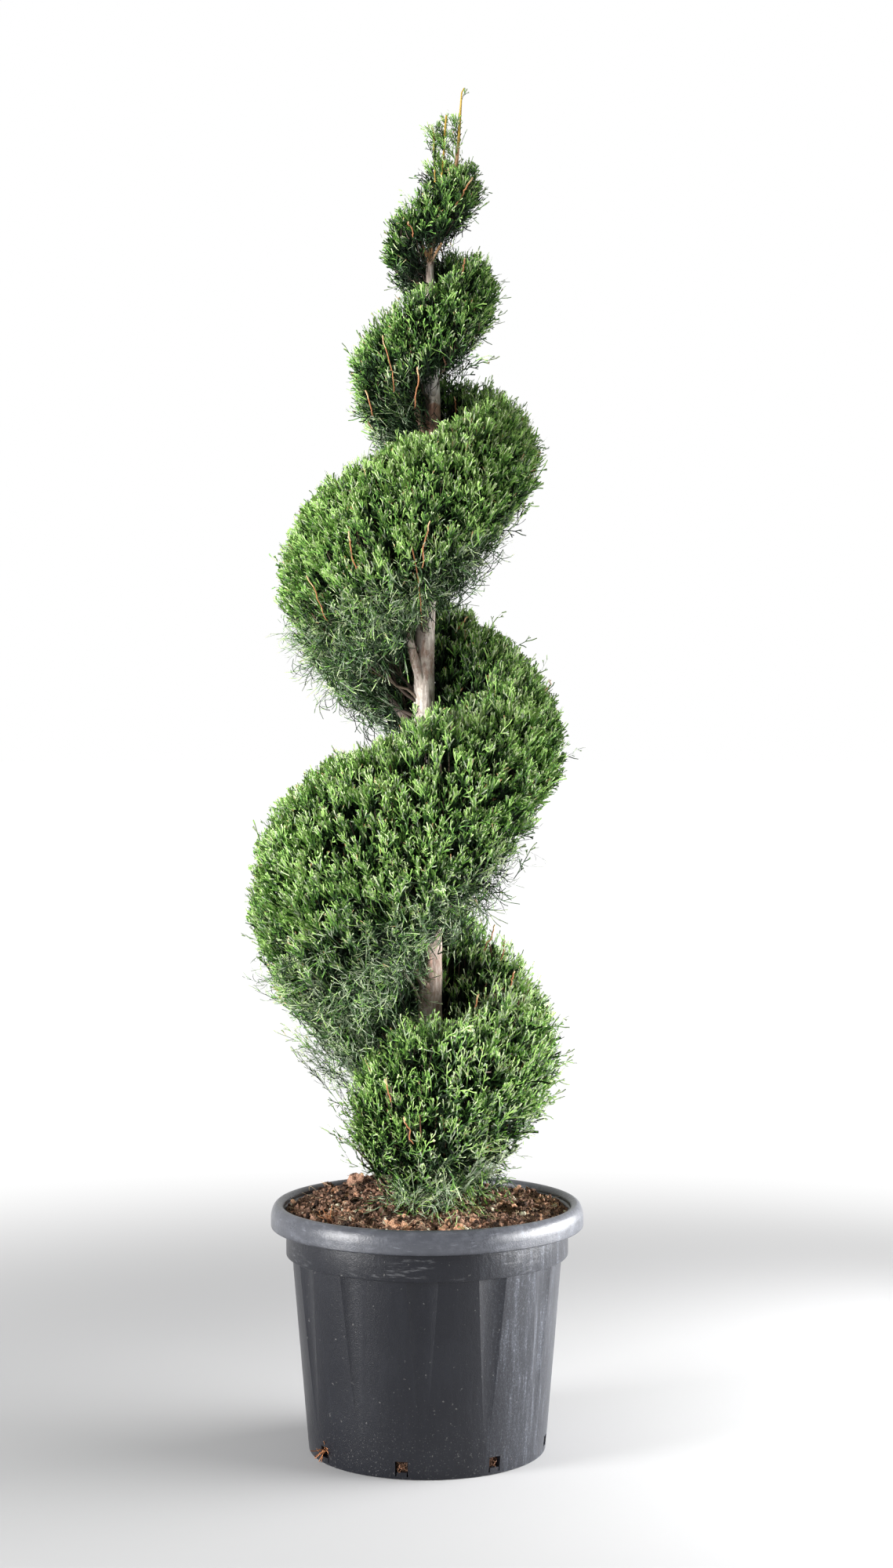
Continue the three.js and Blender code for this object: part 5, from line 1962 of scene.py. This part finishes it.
# %% Grow the tuft at the top
TUFT_STEMS = [  # foot and tip as x, y and height, radius in mm, number of sprays, and their lean to the left
    (0.012, -0.004, 1.905, 0.009, -0.006, 1.985, 1.4, 26, 0.15),
    (0.022, -0.004, 1.905, 0.029, -0.007, 2.004, 1.8, 34, 0.0),
    (0.042, 0.000, 1.930, 0.053, 0.000, 2.032, 0.0, 16, 0.30),  # the leader, whose stem is the trunk's tip
]
SIDE_SPRAYS_TO = 0.80  # how far up a side stem its sprays go
LEADER_SPRAYS_TO = 0.52
LEADER_TIP = (0.0585, 0, 2.046)
LEADER_SPRAY = 0.020
LOOSE_SHARE = 0.45
rng = np.random.default_rng(29)
tips, heading = [], []
for *ends, girth, count, left in TUFT_STEMS:
    foot, tip = np.array(ends[:3]), np.array(ends[3:])
    highest = SIDE_SPRAYS_TO if girth else LEADER_SPRAYS_TO
    share = rng.uniform(0.02, highest, count)[:, None]
    aside = rng.uniform(0, FULL, count)
    leaning = np.stack([np.cos(aside), np.sin(aside), 0 * aside], axis=1)
    leaning = leaning * rng.uniform(0.2, 0.8, count)[:, None]
    lean = unit(UP + leaning - np.array((left, 0, 0)))
    heading.append(lean)
    tips.append(foot + (tip - foot) * share + lean * rng.uniform(0.024, 0.038, count)[:, None])
tips = np.concatenate([*tips, [LEADER_TIP]])
heading = np.concatenate([*heading, [unit(np.array((0.35, 0, 1.0)))]])
length = rng.uniform(0.028, 0.040, len(tips))
length[-1] = LEADER_SPRAY
places, ends = place_sprays(BRUSHES, rng, tips, heading, rng.normal(0, 1, tips.shape), length)
loose = rng.random(len(tips)) < LOOSE_SHARE
parts = (tips[loose], heading[loose], rng.normal(0, 1, (loose.sum(), 3)), length[loose])
places[loose], ends[loose] = place_sprays(FRONDS, rng, *parts)
tones = blade_tones(rng, ends, rng.normal(0.54, 0.14, len(tips)), np.full(len(tips), 0.05))
tuft = blades_piece("tuft_sprays", places, tones)
settle(tuft, greens, ["foliage_top"])

# %% Model the stems of the tuft
TUFT_POINTS = 8
stem_ends = np.array(TUFT_STEMS)[:2]
lines = bent(stem_ends[:, :3], stem_ends[:, 3:6], 0 * stem_ends[:, :3], TUFT_POINTS)
lines[:, 1:-1] += rng.normal(0, 0.0006, lines[:, 1:-1].shape)
stem_radii = stem_ends[:, 6:7] * MM * np.linspace(1.1, 0.8, TUFT_POINTS)[None]
gold = Finish("stem_gold", (0.520, 0.330, 0.060), 0.6, 0.3)
stems = tubes_piece("tuft_stems", lines, stem_radii, STEM_SIDES, np.zeros(len(lines), int))
settle(stems, [gold])

# %% [markdown]
# ## Floor and light
# The plant stands on a plain pale floor that fades into white, under soft studio light: a white surround
# that is brighter behind and above, a broad key from the left, a weak fill from low on the left, and two
# soft boxes that draw the highlights on the pot.

# %% Floor
FLOOR_RADIUS = 60
FLOOR_STEPS = 96
FLOOR_GREY = (0.50, 0.50, 0.505)
FADE_FROM = 0.8
FADE_TO = 2.6
clear_selection()
bpy.ops.mesh.primitive_circle_add(
    vertices=FLOOR_STEPS, radius=FLOOR_RADIUS, fill_type="NGON", location=(0, 0, 0)
)
floor = newest("floor")


def floor_finish():
    """Pale grey under the plant, fading into a glowing white far off, so that no horizon shows."""
    finish = Finish("pale_floor", FLOOR_GREY, 0.8, 0.1)
    settings = {"operation": "LENGTH"}
    away = finish.node("ShaderNodeVectorMath", settings, {0: finish.place()}, out="Value")
    far = finish.ramp(away, FADE_FROM, FADE_TO)
    finish.set(finish.shader, "Emission Strength", 1.0)
    finish.set(finish.shader, "Emission Color", finish.mix(far, (0, 0, 0), (1, 1, 1)))
    finish.feed(finish.mix(far, FLOOR_GREY, (0, 0, 0)))
    return finish


floor.data.materials.append(floor_finish().material)
floor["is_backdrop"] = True
print("floor: a disc of radius", FLOOR_RADIUS, "m that is white from", FADE_TO, "m out")


# %% Surround
class Surround(Finish):
    """A white world that shines mostly from behind and above, like a backdrop and a ceiling."""

    def __init__(self, front, backdrop, ceiling, shine):
        world = bpy.data.worlds.new("surround")
        bpy.context.scene.world = world
        world.use_nodes = True
        self.tree = world.node_tree
        direction = self.node("ShaderNodeTexCoord", out="Generated")
        behind = self.node("ShaderNodeSeparateXYZ", inputs={0: direction}, out="Y")
        above = self.node("ShaderNodeSeparateXYZ", inputs={0: direction}, out="Z")
        light = front + self.ramp(behind, -0.5, 0.35) * backdrop + self.ramp(above, 0.0, 0.9) * ceiling
        seen = self.node("ShaderNodeLightPath", out="Is Camera Ray")
        mirrored = self.node("ShaderNodeLightPath", out="Is Glossy Ray")
        strength = seen + (1 - seen) * light * (1 + mirrored * shine)
        background = self.tree.nodes["Background"]
        self.set(background, "Color", (1, 1, 1, 1))
        self.set(background, "Strength", strength)


Surround(front=0.07, backdrop=0.34, ceiling=0.08, shine=1.1)
bpy.context.scene.view_settings.view_transform = "Standard"
print("world:", bpy.context.scene.world.name)

# %% Lamps
SPREAD_WIDE = math.pi  # in radians, as is the next
SPREAD_NARROW = 1.7


def soft_box(name, place, aim, energy, size, spread=SPREAD_WIDE):
    """A lit rectangle at a place that shines at a point, and that the camera doesn't see."""
    clear_selection()
    bpy.ops.object.light_add(type="AREA", location=place)
    made = bpy.context.object
    made.name = name
    made.rotation_euler = (Vector(aim) - Vector(place)).to_track_quat("-Z", "Y").to_euler()
    made.data.shape = "RECTANGLE"
    made.data.size, made.data.size_y = size
    made.data.spread = spread
    made.data.energy = energy
    made.visible_camera = False
    print("lamp", name, "of", energy, "W")
    return made


soft_box("key", (-3.75, -1.95, 1.15), (0, 0, 0.85), 325, (1.5, 1.9))
low_fill = soft_box("low_fill", (-1.9, -2.4, 0.10), (0, 0, 0.6), 54, (1.6, 0.5))
low_fill.visible_glossy = False
soft_box("right_box", (1.6, 0.05, 0.52), (0, 0, 0.22), 40, (2.2, 0.5), SPREAD_NARROW)
soft_box("top_box", (0.7, -1.7, 3.2), (0, 0, 0.4), 5, (1.6, 0.5))

# %% [markdown]
# ## The sizes
# The box of the frame and the box of what is now seen are printed side by side, so that a glance
# shows whether the dressed plant still has the size of the model.

# %% Print the sizes
clear_selection()
sizes = {"cad": [list(corner) for corner in CAD_BOX], "visual": [list(corner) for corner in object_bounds()]}
print("sizes:", sizes)
